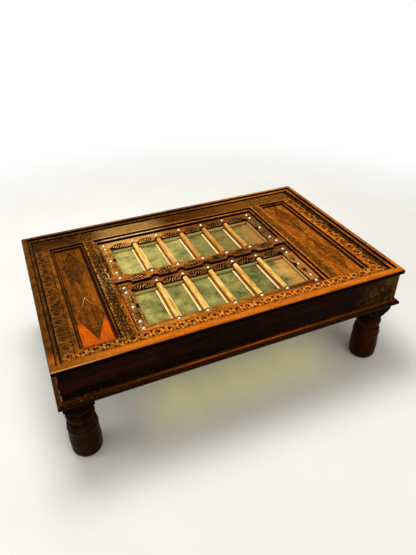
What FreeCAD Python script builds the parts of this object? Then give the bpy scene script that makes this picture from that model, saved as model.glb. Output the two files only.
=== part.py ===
import FreeCAD, Part
import os
import re
import Sketcher

# A low coffee table made from an old carved timber window: a rimmed top that holds the window
# frame, two end panels and two barred, glazed shutters, over a plain box on four turned legs.
# +X runs along the length, +Y to the back and +Z up. The origin is on the floor, under the middle.

# Driving sizes in millimetres: name, value, what it is.
SIZES = (
    ("top_length", 1200, "length of the top over the rim"),
    ("top_depth", 772, "depth of the top over the rim"),
    ("table_height", 423, "floor to the top of the rim"),
    ("leg_height", 270, "floor to the underside of the box"),
    ("cut_overrun", 3, "how far a cut runs past the face it opens"),

    ("rim_width", 38, "rim, from the outer edge to the window frame"),
    ("rim_thickness", 22, "rim, top to underside"),
    ("rim_flat", 19, "plain flat of the rim, outer edge included"),
    ("rim_step", 9, "depth of the step inside the flat"),
    ("rim_bead_width", 14, "bead inside the step"),
    ("rim_bead_rise", 2, "crest of the rim bead above its two edges"),
    ("rim_groove_depth", 17, "groove between the bead and the window frame"),
    ("rim_top_round", 9, "rounding of the rim's upper edge"),
    ("rim_under_round", 5, "rounding of the rim's lower edge"),

    ("apron_inset", 9, "apron face behind the rim's edge"),
    ("apron_thickness", 22, "apron boards"),
    ("base_reach", 15, "base moulding proud of the apron"),
    ("base_height", 26, "base moulding, bottom to top"),
    ("base_nose", 6, "rounding under the base moulding's nose"),
    ("base_upright", 3, "short upright of the nose"),
    ("base_slope_round", 16, "radius of the slope over the nose"),
    ("base_top_width", 4, "what is left of the moulding at the top of its slope"),
    ("base_top_rise", 5, "steep top edge of the base moulding"),

    ("corner_block_width", 90, "corner blocks, both ways"),
    ("leg_inset_x", 51, "leg axis from the rim's end edge"),
    ("leg_inset_y", 65, "leg axis from the rim's long edge"),
    ("leg_square", 95, "square capital of a leg"),
    ("capital_radius", 69, "reach of the capital before it is squared"),
    ("capital_height", 30, "square part of the capital"),
    ("flare_height", 44, "slope from the cove up to the square"),
    ("cove_radius", 38, "leg at the cove"),
    ("leg_bead_radius", 46, "leg at the bead, where it is fullest"),
    ("leg_bead_height", 46, "bead, from neck to cove"),
    ("leg_bead_edge", 41, "leg where the bead's curve starts and ends"),
    ("leg_bead_curve_height", 28, "curved part of the bead"),
    ("neck_radius", 39, "leg at the neck"),
    ("neck_height", 7, "neck groove"),
    ("ring_radius", 44, "thin ring under the neck"),
    ("ring_height", 9, "thin ring, top to bottom"),
    ("ring_round", 5, "rounding of the ring"),
    ("body_top_radius", 43, "body of the leg under the ring"),
    ("shoulder_radius", 48.5, "body of the leg where its shoulder starts"),
    ("shoulder_height", 22, "shoulder, up to the ring"),
    ("shoulder_round", 20, "radius of the shoulder's curve"),
    ("body_radius", 51, "body of the leg where it is widest"),
    ("body_level", 62, "height of the widest place over the floor"),
    ("body_foot_radius", 50, "body of the leg over the rounded foot"),
    ("foot_height", 22, "height over which the foot is rounded"),
    ("foot_radius", 37, "flat that stands on the floor"),
    ("foot_round", 24, "radius of the foot's rounding"),
    ("leg_tenon_radius", 15, "round tenon on top of a leg"),
    ("leg_tenon_length", 60, "round tenon, in the corner block"),
    ("joint_play", 0.1, "all round a glued tenon"),

    ("frame_drop", 13, "window frame below the rim's top"),
    ("frame_thickness", 48, "window frame, top to underside"),
    ("frame_play", 0.2, "between the window frame and the rim"),
    ("window_width", 686, "window opening, along the length"),
    ("back_rail_width", 66, "back rail of the window frame"),
    ("front_rail_width", 35, "front rail of the window frame"),
    ("end_stile_width", 53, "stiles at the two ends"),
    ("middle_stile_width", 40, "stiles beside the window"),
    ("ledge_width", 11, "ledge round each opening, inside the frame"),
    ("ledge_drop", 23, "top of the ledge below the frame's top"),
    ("frame_tenon_length", 22, "stile tenons, past the edge of the opening"),
    ("frame_tenon_thickness", 12, "stile tenons"),
    ("frame_tenon_side", 10, "shoulder beside a stile tenon"),
    ("frame_tenon_foot", 8, "stile tenon above the frame's underside"),
    ("field_margin", 6, "plain margin beside a carved field"),
    ("rail_field_margin", 4, "plain margin of a rail's carved field, towards the openings"),
    ("end_field_margin", 10, "plain margin of an end stile's carved field, towards the panel"),
    ("rim_field_margin", 1.5, "plain margin of a carved field, towards the rim or a joint"),
    ("field_depth", 2, "how deep a carved field is sunk"),

    ("panel_drop", 12, "end panel below the frame's top"),
    ("panel_play", 0.3, "round an end panel"),
    ("lozenge_length", 232, "carved lozenge, front to back"),
    ("lozenge_width", 84, "carved lozenge, across"),
    ("lozenge_pitch", 300, "middle of one lozenge to the next"),
    ("lozenge_depth", 2, "how deep a lozenge is sunk"),
    ("panel_bead_width", 12, "bead round an end panel"),
    ("panel_bead_height", 6, "bead round an end panel"),
    ("panel_bead_edge", 3, "upright side of that bead"),
    ("window_bead_drop", 8, "window bead below the frame's top"),
    ("window_bead_edge", 12, "upright side of the window bead"),

    ("shutter_drop", 16, "shutters below the frame's top"),
    ("shutter_thickness", 29, "shutters, without studs and bars"),
    ("shutter_gap", 3, "round the shutters"),
    ("back_shutter_depth", 310, "back shutter, hinge edge to meeting edge"),
    ("back_hinge_stile", 59, "hinge stile of the back shutter"),
    ("back_meeting_stile", 58, "meeting stile of the back shutter"),
    ("front_hinge_stile", 27, "hinge stile of the front shutter"),
    ("front_meeting_stile", 40, "meeting stile of the front shutter"),
    ("end_rail_width", 39, "end rails of the shutters"),
    ("plate_thickness", 5, "cusped upper layer of a shutter's frame"),
    ("plate_setback", 2.5, "cusped layer behind the edge of the lower one"),
    ("notch_radius", 17, "round notch at each bar"),
    ("notch_depth", 19, "round notch, from the cusped edge"),
    ("end_notch_depth", 10, "round notch in an end rail's cusped edge"),
    ("corner_notch_radius", 14, "round notch at the two far corners of the panes"),
    ("corner_notch_inset", 8, "that notch's middle, from the end rail"),
    ("leaf_length", 67, "carved leaf between two bars"),
    ("leaf_width", 33, "carved leaf between two bars"),
    ("end_leaf_length", 44, "carved leaf on an end rail"),
    ("end_leaf_width", 17, "carved leaf on an end rail"),
    ("leaf_depth", 2, "how deep the carved leaves are sunk"),
    ("back_leaf_inset", 19, "carved leaves of the back hinge stile, from the panes"),
    ("meeting_leaf_inset", 18.5, "carved leaves of the front meeting stile, from the panes"),
    ("strip_leaf_inset", 20, "carved leaves of the cover strip, from its front edge"),
    ("end_leaf_inset", 18, "carved leaves of the end rails, from the panes"),
    ("hinge_round", 7, "rounding of a shutter's hinge edge"),
    ("bar_radius", 10, "turned bars"),
    ("bar_pitch", 97.4, "one bar to the next"),
    ("bar_sink", 7, "bar axis below the shutter's top"),
    ("bar_housing", 10, "bar let into a notched stile"),
    ("bar_tenon_radius", 6, "round tenon at a bar's plain end"),
    ("bar_tenon_length", 8, "round tenon at a bar's plain end"),
    ("lath_width", 36, "flat lath under each bar"),
    ("lath_play", 0.3, "between a bar and its lath"),
    ("glass_sink", 21, "top of the glass below the shutter's top"),
    ("glass_thickness", 3, "glass"),
    ("rebate_width", 8, "rebate that holds the glass"),
    ("glass_play", 0.5, "round the glass and its battens"),
    ("pin_radius", 4, "hinge pins"),
    ("pin_sink", 13, "pin axis below the shutter's top"),
    ("pin_inset", 16, "pin axis from the hinge edge"),
    ("pin_embed", 18, "pin in the shutter"),
    ("pin_reach", 14, "pin in its socket"),
    ("pin_play", 0.05, "round a pin"),
    ("pin_end_play", 1, "between a pin's tip and the end of its socket"),
    ("rail_tenon_length", 15, "end rail tenons"),
    ("rail_tenon_width", 14, "end rail tenons"),
    ("rail_tenon_thickness", 9, "end rail tenons"),
    ("rail_tenon_side", 4, "end rail tenons, from the inner edge"),
    ("rail_tenon_sink", 7, "end rail tenons, below the shutter's top"),

    ("strip_width", 54, "cover strip on the back shutter"),
    ("strip_thickness", 11, "cover strip"),
    ("strip_play", 1, "between the cover strip's ends and the frame"),
    ("strip_lap_play", 0.3, "between the strip's lapped ends and the bead"),
    ("bay_depth", 13, "hollow of the strip's back edge between bars"),
    ("bay_tip", 10, "blunt tip left between two hollows"),
    ("scallop_radius", 16, "notch in the strip's front edge at each bar"),
    ("scallop_depth", 14, "notch in the strip's front edge"),
    ("strip_tab", 50, "narrower tab at each end of the strip"),
    ("strip_shoulder", 15, "how much narrower the tab is, at the front"),

    ("stud_radius", 8, "domed studs"),
    ("stud_height", 4, "domed studs"),
    ("stud_end_inset", 18, "studs on the end rails, from the shutter's end"),
    ("back_stud_inset", 19, "row on the back hinge stile, from the edge"),
    ("strip_stud_inset", 36, "row on the cover strip, from its front edge"),
    ("meeting_stud_inset", 9, "row on the front meeting stile, from the edge"),
    ("front_stud_inset", 18, "row on the front hinge stile, from the edge"),
)

# Five bars stand on each shutter, counted from its middle.
BAR_STEPS = (-2, -1, 0, 1, 2)

# Studs on the end rails, as shares of the shutter's depth from its back edge.
BACK_END_STUD_SHARES = (0.155, 0.445, 0.715)
FRONT_END_STUD_SHARES = (0.15, 0.48, 0.79)

# Places worked out from the driving sizes.
RULES = {
    "half_length": "top_length / 2",
    "half_depth": "top_depth / 2",
    "rim_underside": "table_height - rim_thickness",
    "apron_out_x": "half_length - apron_inset",
    "apron_out_y": "half_depth - apron_inset",
    "apron_in_x": "apron_out_x - apron_thickness",
    "apron_in_y": "apron_out_y - apron_thickness",
    "leg_x": "half_length - leg_inset_x",
    "leg_y": "half_depth - leg_inset_y",
    "flare_foot": "leg_height - capital_height - flare_height",
    "neck_top": "flare_foot - leg_bead_height",
    "ring_top": "neck_top - neck_height",
    "ring_foot": "ring_top - ring_height",
    "leg_bead_middle": "neck_top + leg_bead_height / 2",
    "leg_bead_rise": "leg_bead_radius - leg_bead_edge",
    "leg_bead_curve": "(leg_bead_curve_height ^ 2 / 4 + leg_bead_rise ^ 2) / (2 * leg_bead_rise)",

    "frame_x": "half_length - rim_width - frame_play",
    "frame_y": "half_depth - rim_width - frame_play",
    "frame_top": "table_height - frame_drop",
    "frame_foot": "frame_top - frame_thickness",
    "ledge_top": "frame_top - ledge_drop",
    "open_back": "frame_y - back_rail_width",
    "open_front": "front_rail_width - frame_y",
    "open_depth": "open_back - open_front",
    "open_middle": "(open_back + open_front) / 2",
    "window_x": "window_width / 2",
    "panel_near_x": "window_x + middle_stile_width",
    "panel_far_x": "frame_x - end_stile_width",
    "panel_width": "panel_far_x - panel_near_x",
    "panel_x": "(panel_far_x + panel_near_x) / 2",
    "panel_top": "frame_top - panel_drop",
    "tenon_low": "frame_foot + frame_tenon_foot",

    "shutter_top": "frame_top - shutter_drop",
    "shutter_foot": "shutter_top - shutter_thickness",
    "plate_foot": "shutter_top - plate_thickness",
    "shutter_x": "window_x - ledge_width - shutter_gap",
    "rail_x": "shutter_x - end_rail_width",
    "back_edge": "open_back - ledge_width - shutter_gap",
    "back_meet": "back_edge - back_shutter_depth",
    "front_meet": "back_meet - shutter_gap",
    "front_edge": "open_front + ledge_width + shutter_gap",
    "front_shutter_depth": "front_meet - front_edge",
    "back_pane_far": "back_edge - back_hinge_stile",
    "back_pane_near": "back_meet + back_meeting_stile",
    "front_pane_far": "front_meet - front_meeting_stile",
    "front_pane_near": "front_edge + front_hinge_stile",
    "bar_z": "shutter_top - bar_sink",
    "glass_top": "shutter_top - glass_sink",
    "glass_foot": "glass_top - glass_thickness",
    "lath_top": "bar_z - bar_radius - lath_play",
    "pin_z": "shutter_top - pin_sink",
    "back_pin_y": "back_edge - pin_inset",
    "front_pin_y": "front_edge + pin_inset",
    "notch_centre": "notch_radius - notch_depth",
    "end_notch_centre": "notch_radius - end_notch_depth",
    "outer_bay": "(stud_x + 2 * bar_pitch) / 2",
    "rail_tenon_top": "shutter_top - rail_tenon_sink",
    "rail_tenon_foot": "rail_tenon_top - rail_tenon_thickness",
    "strip_top": "shutter_top + strip_thickness",
    "strip_x": "window_x - strip_play",
    "strip_back": "back_meet + strip_width",
    "bead_crest": "frame_top - window_bead_drop",
    "stud_x": "shutter_x - stud_end_inset",
    "stud_sphere": "(stud_radius ^ 2 + stud_height ^ 2) / (2 * stud_height)",
    "bay_half": "(bar_pitch - bay_tip) / 2",
    "bay_radius": "(bay_half ^ 2 + bay_depth ^ 2) / (2 * bay_depth)",
}

WORD = re.compile(r"[a-z][a-z_]*")
Z_AXIS = FreeCAD.Vector(0, 0, 1)
TURN_TO_X = FreeCAD.Rotation(FreeCAD.Vector(0, 1, 0), 90)
TURN_TO_Y = FreeCAD.Rotation(FreeCAD.Vector(1, 0, 0), -90)

doc = FreeCAD.newDocument("window_table")
sheet = doc.addObject("Spreadsheet::Sheet", "Sizes")
for row, (size_name, size_value, size_note) in enumerate(SIZES, start=1):
    sheet.set(f"A{row}", size_name)
    sheet.set(f"B{row}", str(size_value))
    sheet.set(f"C{row}", size_note)
    sheet.setAlias(f"B{row}", size_name)
doc.recompute()

SIZE_NAMES = {size[0] for size in SIZES}
kept = []


def full(text):
    """An expression in the sheet's cells, from one in size names and rule names."""
    def swap(found):
        word = found.group(0)
        if word in RULES:
            return "(" + full(RULES[word]) + ")"
        if word in SIZE_NAMES:
            return "Sizes." + word
        return word
    return WORD.sub(swap, str(text))


def value(text):
    """The number that an expression stands for now."""
    result = sheet.evalExpression(full(text))
    return float(getattr(result, "Value", result))


def place(thing, spot, rotation=None):
    """Put a thing at a spot given as three expressions, turned by a fixed rotation."""
    thing.Placement = FreeCAD.Placement(FreeCAD.Vector(), rotation or FreeCAD.Rotation())
    for axis, text in zip("xyz", spot):
        thing.setExpression("Placement.Base." + axis, full(text))
    return thing


def bind(thing, **sizes):
    for name, text in sizes.items():
        thing.setExpression(name, full(text))
    return thing


def block(name, low, high):
    """A squared block between two corners."""
    thing = doc.addObject("Part::Box", name)
    for size, start, end in zip(("Length", "Width", "Height"), low, high):
        thing.setExpression(size, full(f"({end}) - ({start})"))
    return place(thing, low)


def round_bar(name, spot, radius, length, rotation=None):
    """A cylinder that starts at a spot and runs up, or along X or Y."""
    thing = bind(doc.addObject("Part::Cylinder", name), Radius=radius, Height=length)
    return place(thing, spot, rotation)


def joined(name, things):
    thing = doc.addObject("Part::MultiFuse", name)
    thing.Shapes = things
    thing.Refine = True
    return thing


def cut(name, base, tools):
    thing = doc.addObject("Part::Cut", name)
    thing.Base = base
    thing.Tool = tools[0] if len(tools) == 1 else group(name + "_tools", tools)
    thing.Refine = True
    return thing


def group(name, things):
    """Separate solids kept together."""
    thing = doc.addObject("Part::Compound", name)
    thing.Links = things
    return thing


def common(name, base, tool):
    thing = doc.addObject("Part::Common", name)
    thing.Base = base
    thing.Tool = tool
    thing.Refine = True
    return thing


def keep(thing, label):
    """Name a finished sub-part, which is then written to its own file."""
    thing.Label = label
    kept.append(thing)
    return thing


def arc_centre(start, end, radius, side):
    """Centre of the arc from start to end that swells to its right (1) or to its left (-1)."""
    middle = (start + end) / 2
    run = end - start
    reach = (radius ** 2 - (run.Length / 2) ** 2) ** 0.5
    across = FreeCAD.Vector(-run.y, run.x, 0) / run.Length
    return middle + across * reach * side


def draw_outline(sketch, points, arcs):
    """A closed outline through points, bound to the sheet. arcs maps an edge to (radius, side)."""
    spots = [FreeCAD.Vector(value(x), value(y), 0) for x, y in points]
    ends = []
    for index, start in enumerate(spots):
        end = spots[(index + 1) % len(spots)]
        if index in arcs:
            radius, side = arcs[index]
            centre = arc_centre(start, end, value(radius), side)
            first, last = (start, end) if side > 0 else (end, start)
            turn_from = FreeCAD.Vector(1, 0, 0)
            first_angle = turn_from.getAngle(first - centre) * (1 if first.y >= centre.y else -1)
            last_angle = turn_from.getAngle(last - centre) * (1 if last.y >= centre.y else -1)
            circle = Part.Circle(centre, Z_AXIS, value(radius))
            edge = sketch.addGeometry(Part.ArcOfCircle(circle, first_angle, last_angle))
            ends.append((edge, 1, 2) if side > 0 else (edge, 2, 1))
        else:
            edge = sketch.addGeometry(Part.LineSegment(start, end))
            ends.append((edge, 1, 2))
    for index, (edge, start_end, far_end) in enumerate(ends):
        last_edge, ignored, last_far_end = ends[index - 1]
        sketch.addConstraint(Sketcher.Constraint("Coincident", last_edge, last_far_end, edge, start_end))
        for kind, text, number in (("DistanceX", points[index][0], spots[index].x),
                                   ("DistanceY", points[index][1], spots[index].y)):
            held = sketch.addConstraint(Sketcher.Constraint(kind, -1, 1, edge, start_end, number))
            sketch.setExpression(f"Constraints[{held}]", full(text))
    for index, (radius, side) in arcs.items():
        held = sketch.addConstraint(Sketcher.Constraint("Radius", ends[index][0], value(radius)))
        sketch.setExpression(f"Constraints[{held}]", full(radius))


def new_sketch(body, name, plane_role):
    sketch = body.newObject("Sketcher::SketchObject", name)
    plane = [feature for feature in body.Origin.OriginFeatures if feature.Role == plane_role][0]
    sketch.AttachmentSupport = (plane, [""])
    sketch.MapMode = "FlatFace"
    return sketch


def padded(name, plane_role, points, length, arcs=None, both_ways=False):
    """A body padded from an outline, to one side or to both."""
    body = doc.addObject("PartDesign::Body", name)
    sketch = new_sketch(body, name + "_outline", plane_role)
    draw_outline(sketch, points, arcs or {})
    pad = body.newObject("PartDesign::Pad", name + "_pad")
    pad.Profile = sketch
    if both_ways:
        pad.SideType = "Symmetric"
    bind(pad, Length=length)
    sketch.Visibility = False
    return body


def mitred_stick(name, points, arcs, length, width, low, high):
    """A moulded stick along X, mitred at both ends. Its long edge is at y = 0, its short one at width."""
    stick = padded(name + "_moulding", "YZ_Plane", points, length, arcs, both_ways=True)
    wedge = doc.addObject("Part::Wedge", name + "_mitres")
    bind(wedge, Xmin=f"-({length}) / 2", Xmax=f"({length}) / 2", Ymin="0 * cut_overrun", Ymax=width,
         Zmin=low, Zmax=high, Z2min=low, Z2max=high,
         X2min=f"({width}) - ({length}) / 2", X2max=f"({length}) / 2 - ({width})")
    return common(name, stick, wedge)


def ring_of_sticks(names, points, arcs, middle, size_x, size_y, width, low, high, level):
    """Four mitred sticks round a rectangle: front, right, back and left, moulded edge outwards."""
    sticks = []
    spots = ((middle[0], f"({middle[1]}) - ({size_y}) / 2"),
             (f"({middle[0]}) + ({size_x}) / 2", middle[1]),
             (middle[0], f"({middle[1]}) + ({size_y}) / 2"),
             (f"({middle[0]}) - ({size_x}) / 2", middle[1]))
    for step, (name, spot) in enumerate(zip(names, spots)):
        length = size_y if step % 2 else size_x
        stick = mitred_stick(name, points, arcs, length, width, low, high)
        sticks.append(place(stick, spot + (level,), FreeCAD.Rotation(Z_AXIS, 90 * step)))
    return sticks


def build_rim():
    points = (("rim_under_round", "-rim_thickness"), ("rim_width", "-rim_thickness"),
              ("rim_width", "-rim_groove_depth"), ("rim_flat + rim_bead_width", "-rim_groove_depth"),
              ("rim_flat + rim_bead_width", "-rim_step"), ("rim_flat", "-rim_step"), ("rim_flat", "0"),
              ("rim_top_round", "0"), ("0", "-rim_top_round"), ("0", "rim_under_round - rim_thickness"))
    bead = "(rim_bead_width ^ 2 / 4 + rim_bead_rise ^ 2) / (2 * rim_bead_rise)"
    arcs = {4: (bead, 1), 7: ("rim_top_round", 1), 9: ("rim_under_round", 1)}
    names = ("rim_front", "rim_right", "rim_back", "rim_left")
    sticks = ring_of_sticks(names, points, arcs, ("0", "0"), "top_length", "top_depth",
                            "rim_width", "-rim_thickness - cut_overrun", "cut_overrun", "table_height")
    for stick, name in zip(sticks, names):
        keep(stick, name)


def build_box():
    for name, side in (("apron_front", -1), ("apron_back", 1)):
        inner, outer = ("apron_in_y", "apron_out_y") if side > 0 else ("-apron_out_y", "-apron_in_y")
        keep(block(name, ("-apron_out_x", inner, "leg_height"), ("apron_out_x", outer, "rim_underside")), name)
    for name, side in (("apron_left", -1), ("apron_right", 1)):
        inner, outer = ("apron_in_x", "apron_out_x") if side > 0 else ("-apron_out_x", "-apron_in_x")
        keep(block(name, (inner, "-apron_in_y", "leg_height"), (outer, "apron_in_y", "rim_underside")), name)


def build_base_moulding():
    points = (("base_nose", "0"), ("base_reach", "0"), ("base_reach", "base_height"),
              ("base_reach - base_top_width", "base_height - base_top_rise"),
              ("0", "base_nose + base_upright"), ("0", "base_nose"))
    arcs = {3: ("base_slope_round", 1), 5: ("base_nose", 1)}
    names = ("base_moulding_front", "base_moulding_right", "base_moulding_back", "base_moulding_left")
    sticks = ring_of_sticks(names, points, arcs, ("0", "0"),
                            "2 * (apron_out_x + base_reach)", "2 * (apron_out_y + base_reach)",
                            "base_reach", "-cut_overrun", "base_height + cut_overrun", "leg_height")
    for stick, name in zip(sticks, names):
        keep(stick, name)


def build_leg(name, side_x, side_y):
    """Turned from a square billet: the capital and the slope under it keep four flats."""
    body = doc.addObject("PartDesign::Body", name)
    points = (("0", "0"), ("foot_radius", "0"), ("body_foot_radius", "foot_height"),
              ("body_radius", "body_level"), ("shoulder_radius", "ring_foot - shoulder_height"),
              ("body_top_radius", "ring_foot"), ("ring_radius", "ring_foot"), ("ring_radius", "ring_top"),
              ("neck_radius", "ring_top"), ("neck_radius", "neck_top"),
              ("leg_bead_edge", "leg_bead_middle - leg_bead_curve_height / 2"),
              ("leg_bead_edge", "leg_bead_middle + leg_bead_curve_height / 2"),
              ("cove_radius", "flare_foot"), ("capital_radius", "flare_foot + flare_height"),
              ("capital_radius", "leg_height"), ("leg_tenon_radius", "leg_height"),
              ("leg_tenon_radius", "leg_height + leg_tenon_length"), ("0", "leg_height + leg_tenon_length"))
    arcs = {1: ("foot_round", 1), 4: ("shoulder_round", 1), 6: ("ring_round", 1), 10: ("leg_bead_curve", 1)}
    profile = new_sketch(body, name + "_profile", "XZ_Plane")
    draw_outline(profile, points, arcs)
    turned = body.newObject("PartDesign::Revolution", name + "_turned")
    turned.Profile = profile
    turned.ReferenceAxis = (profile, ["V_Axis"])
    turned.Angle = 360
    squares = new_sketch(body, name + "_flats", "XY_Plane")
    draw_outline(squares, [(f"{sx} * leg_square / 2", f"{sy} * leg_square / 2")
                           for sx, sy in ((-1, -1), (1, -1), (1, 1), (-1, 1))], {})
    draw_outline(squares, [(f"{sx} * (capital_radius + cut_overrun)", f"{sy} * (capital_radius + cut_overrun)")
                           for sx, sy in ((-1, -1), (1, -1), (1, 1), (-1, 1))], {})
    squares.setExpression("AttachmentOffset.Base.z", full("flare_foot"))
    flats = body.newObject("PartDesign::Pocket", name + "_capital")
    flats.Profile = squares
    flats.Reversed = True
    bind(flats, Length="flare_height + capital_height")
    place(body, (f"{side_x} * leg_x", f"{side_y} * leg_y", "0"))
    keep(body, name)


def build_corner_block(name, side_x, side_y):
    """Glued into the corner of the box. It takes the leg's tenon and carries the window frame."""
    low_x, high_x = ("apron_in_x - corner_block_width", "apron_in_x") if side_x > 0 else (
        "-apron_in_x", "corner_block_width - apron_in_x")
    low_y, high_y = ("apron_in_y - corner_block_width", "apron_in_y") if side_y > 0 else (
        "-apron_in_y", "corner_block_width - apron_in_y")
    solid = block(name + "_blank", (low_x, low_y, "leg_height"), (high_x, high_y, "frame_foot"))
    bore = round_bar(name + "_bore", (f"{side_x} * leg_x", f"{side_y} * leg_y", "leg_height - cut_overrun"),
                     "leg_tenon_radius + joint_play", "leg_tenon_length + 2 * cut_overrun")
    keep(cut(name, solid, [bore]), name)


def build_legs():
    for end, side_x in (("left", -1), ("right", 1)):
        for edge, side_y in (("front", -1), ("back", 1)):
            build_leg(f"leg_{edge}_{end}", side_x, side_y)
            build_corner_block(f"corner_block_{edge}_{end}", side_x, side_y)


def stile_tenon(name, near_x, far_x, play="0"):
    """The tenon, or with play the mortise, at both ends of a frame stile."""
    things = []
    for end, shoulder, tip in (("back", "open_back - ledge_width", "open_back + frame_tenon_length"),
                               ("front", "open_front + ledge_width", "open_front - frame_tenon_length")):
        start, stop = (shoulder, f"{tip} + {play}") if end == "back" else (f"{tip} - {play}", shoulder)
        things.append(block(f"{name}_{end}",
                            (f"{near_x} + frame_tenon_side - {play}", start, f"tenon_low - {play}"),
                            (f"{far_x} - frame_tenon_side + {play}", stop,
                             f"tenon_low + frame_tenon_thickness + {play}")))
    return things


STILES = (("end_stile_left", "-frame_x", "-panel_far_x"), ("middle_stile_left", "-panel_near_x", "-window_x"),
          ("middle_stile_right", "window_x", "panel_near_x"), ("end_stile_right", "panel_far_x", "frame_x"))


def build_frame_rails():
    """The rails run the full length. Each has a ledge for the panels and the window bead."""
    for name, near, far, ledge in (
            ("frame_rail_back", "open_back", "frame_y", "open_back - ledge_width"),
            ("frame_rail_front", "open_front", "-frame_y", "open_front + ledge_width")):
        low, high = (near, far) if far == "frame_y" else (far, near)
        rail = block(name + "_rail", ("-frame_x", low, "frame_foot"), ("frame_x", high, "frame_top"))
        low, high = (ledge, near) if far == "frame_y" else (near, ledge)
        step = block(name + "_ledge", ("-frame_x", low, "frame_foot"), ("frame_x", high, "ledge_top"))
        low, high = (near, far) if far == "frame_y" else (far, near)
        low_margin, high_margin = (("rail_field_margin", "rim_field_margin") if far == "frame_y"
                                   else ("rim_field_margin", "rail_field_margin"))
        field = block(name + "_field",
                      ("rim_field_margin - frame_x", f"{low} + {low_margin}", "frame_top - field_depth"),
                      ("frame_x - rim_field_margin", f"{high} - {high_margin}", "frame_top + cut_overrun"))
        side = 0 if far == "frame_y" else 1
        mortises = [stile_tenon(f"{name}_mortise_{index}", stile[1], stile[2], "joint_play")[side]
                    for index, stile in enumerate(STILES)]
        keep(cut(name, joined(name + "_blank", [rail, step]), [field] + mortises), name)


def build_frame_stiles():
    for name, near, far in STILES:
        top = block(name + "_top", (near, "open_front", "ledge_top"), (far, "open_back", "frame_top"))
        inner_low = near if "end_stile_left" in name else f"{near} - ledge_width"
        inner_high = far if "end_stile_right" in name else f"{far} + ledge_width"
        foot = block(name + "_foot", (inner_low, "open_front + ledge_width", "frame_foot"),
                     (inner_high, "open_back - ledge_width", "ledge_top"))
        low_margin, high_margin = {"end_stile_left": ("rim_field_margin", "end_field_margin"),
                                   "end_stile_right": ("end_field_margin", "rim_field_margin"),
                                   }.get(name, ("field_margin", "field_margin"))
        field = block(name + "_field",
                      (f"{near} + {low_margin}", "open_front + rim_field_margin", "frame_top - field_depth"),
                      (f"{far} - {high_margin}", "open_back - rim_field_margin", "frame_top + cut_overrun"))
        tools = [field]
        if name.startswith("middle"):
            ledge_face = "window_x - ledge_width"
            start = (f"{ledge_face} - cut_overrun" if "right" in name
                     else f"-({ledge_face} + pin_reach + pin_end_play)")
            for edge in ("back", "front"):
                tools.append(round_bar(f"{name}_socket_{edge}", (start, edge + "_pin_y", "pin_z"),
                                       "pin_radius + pin_play",
                                       "pin_reach + pin_end_play + cut_overrun", TURN_TO_X))
        blank = joined(name + "_blank", [top, foot] + stile_tenon(name + "_tenon", near, far))
        keep(cut(name, blank, tools), name)


def build_panels():
    for name, side in (("panel_left", -1), ("panel_right", 1)):
        low_x, high_x = ("panel_near_x", "panel_far_x") if side > 0 else ("-panel_far_x", "-panel_near_x")
        board = block(name + "_board",
                      (f"{low_x} + panel_play", "open_front + panel_play", "ledge_top"),
                      (f"{high_x} - panel_play", "open_back - panel_play", "panel_top"))
        tools = []
        for step, place_text in ((-1, "open_middle - lozenge_pitch / 2"), (1, "open_middle + lozenge_pitch / 2")):
            lozenge = padded(f"{name}_lozenge_{'front' if step < 0 else 'back'}", "XY_Plane",
                             (("0", "-lozenge_length / 2"), ("lozenge_width / 2", "0"),
                              ("0", "lozenge_length / 2"), ("-lozenge_width / 2", "0")),
                             "lozenge_depth + cut_overrun")
            tools.append(place(lozenge, (f"{side} * panel_x", place_text, "panel_top - lozenge_depth")))
        keep(cut(name, board, tools), name)


def bead_profile(width, edge, height):
    """A stick with upright sides and a rounded top."""
    rise = f"(({height}) - ({edge}))"
    radius = f"(({width}) ^ 2 / 4 + {rise} ^ 2) / (2 * {rise})"
    return (("0", "0"), (width, "0"), (width, edge), ("0", edge)), {2: (radius, 1)}


def build_beads():
    names = ("front", "right", "back", "left")
    points, arcs = bead_profile("panel_bead_width", "panel_bead_edge", "panel_bead_height")
    for end, side in (("left", -1), ("right", 1)):
        sticks = ring_of_sticks([f"panel_bead_{end}_{name}" for name in names], points, arcs,
                                (f"{side} * panel_x", "open_middle"), "panel_width", "open_depth",
                                "panel_bead_width", "-cut_overrun", "panel_bead_height + cut_overrun", "panel_top")
        keep(group(f"panel_beads_{end}", sticks), f"panel_beads_{end}")
    height = "(ledge_drop - window_bead_drop)"
    points, arcs = bead_profile("ledge_width", "window_bead_edge", height)
    sticks = ring_of_sticks([f"window_bead_{name}" for name in names], points, arcs, ("0", "open_middle"),
                            "window_width", "open_depth", "ledge_width", "-cut_overrun",
                            f"{height} + cut_overrun", "ledge_top")
    for stick, name in zip(sticks, names):
        keep(stick, f"window_bead_{name}")


def notch_tools(name, edge, side, steps):
    """Round notches in a cusped edge. side is +1 where the wood lies behind the edge."""
    return [round_bar(f"{name}_notch_{step + 2}",
                      (f"{step} * bar_pitch", f"{edge} - {side} * notch_centre", "plate_foot"),
                      "notch_radius", "plate_thickness + cut_overrun") for step in steps]


def corner_notches(name, edge):
    """Round notches in a cusped edge, where it meets the two end rails."""
    return [round_bar(f"{name}_corner_notch_{end}", (f"{side} * (rail_x - corner_notch_inset)", edge, "plate_foot"),
                      "corner_notch_radius", "plate_thickness + cut_overrun")
            for end, side in (("left", -1), ("right", 1))]


def leaf_pocket(name, x, y, top, length="leaf_length", width="leaf_width", turned=False):
    """A sunk field with the outline of a leaf, for the carving."""
    bend = f"((({length}) ^ 2 + ({width}) ^ 2) / (4 * ({width})))"
    tool = padded(name, "XY_Plane", ((f"-({length}) / 2", "0"), (f"({length}) / 2", "0")),
                  "leaf_depth + cut_overrun", {0: (bend, 1), 1: (bend, 1)})
    return place(tool, (x, y, f"{top} - leaf_depth"), FreeCAD.Rotation(Z_AXIS, 90 if turned else 0))


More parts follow.
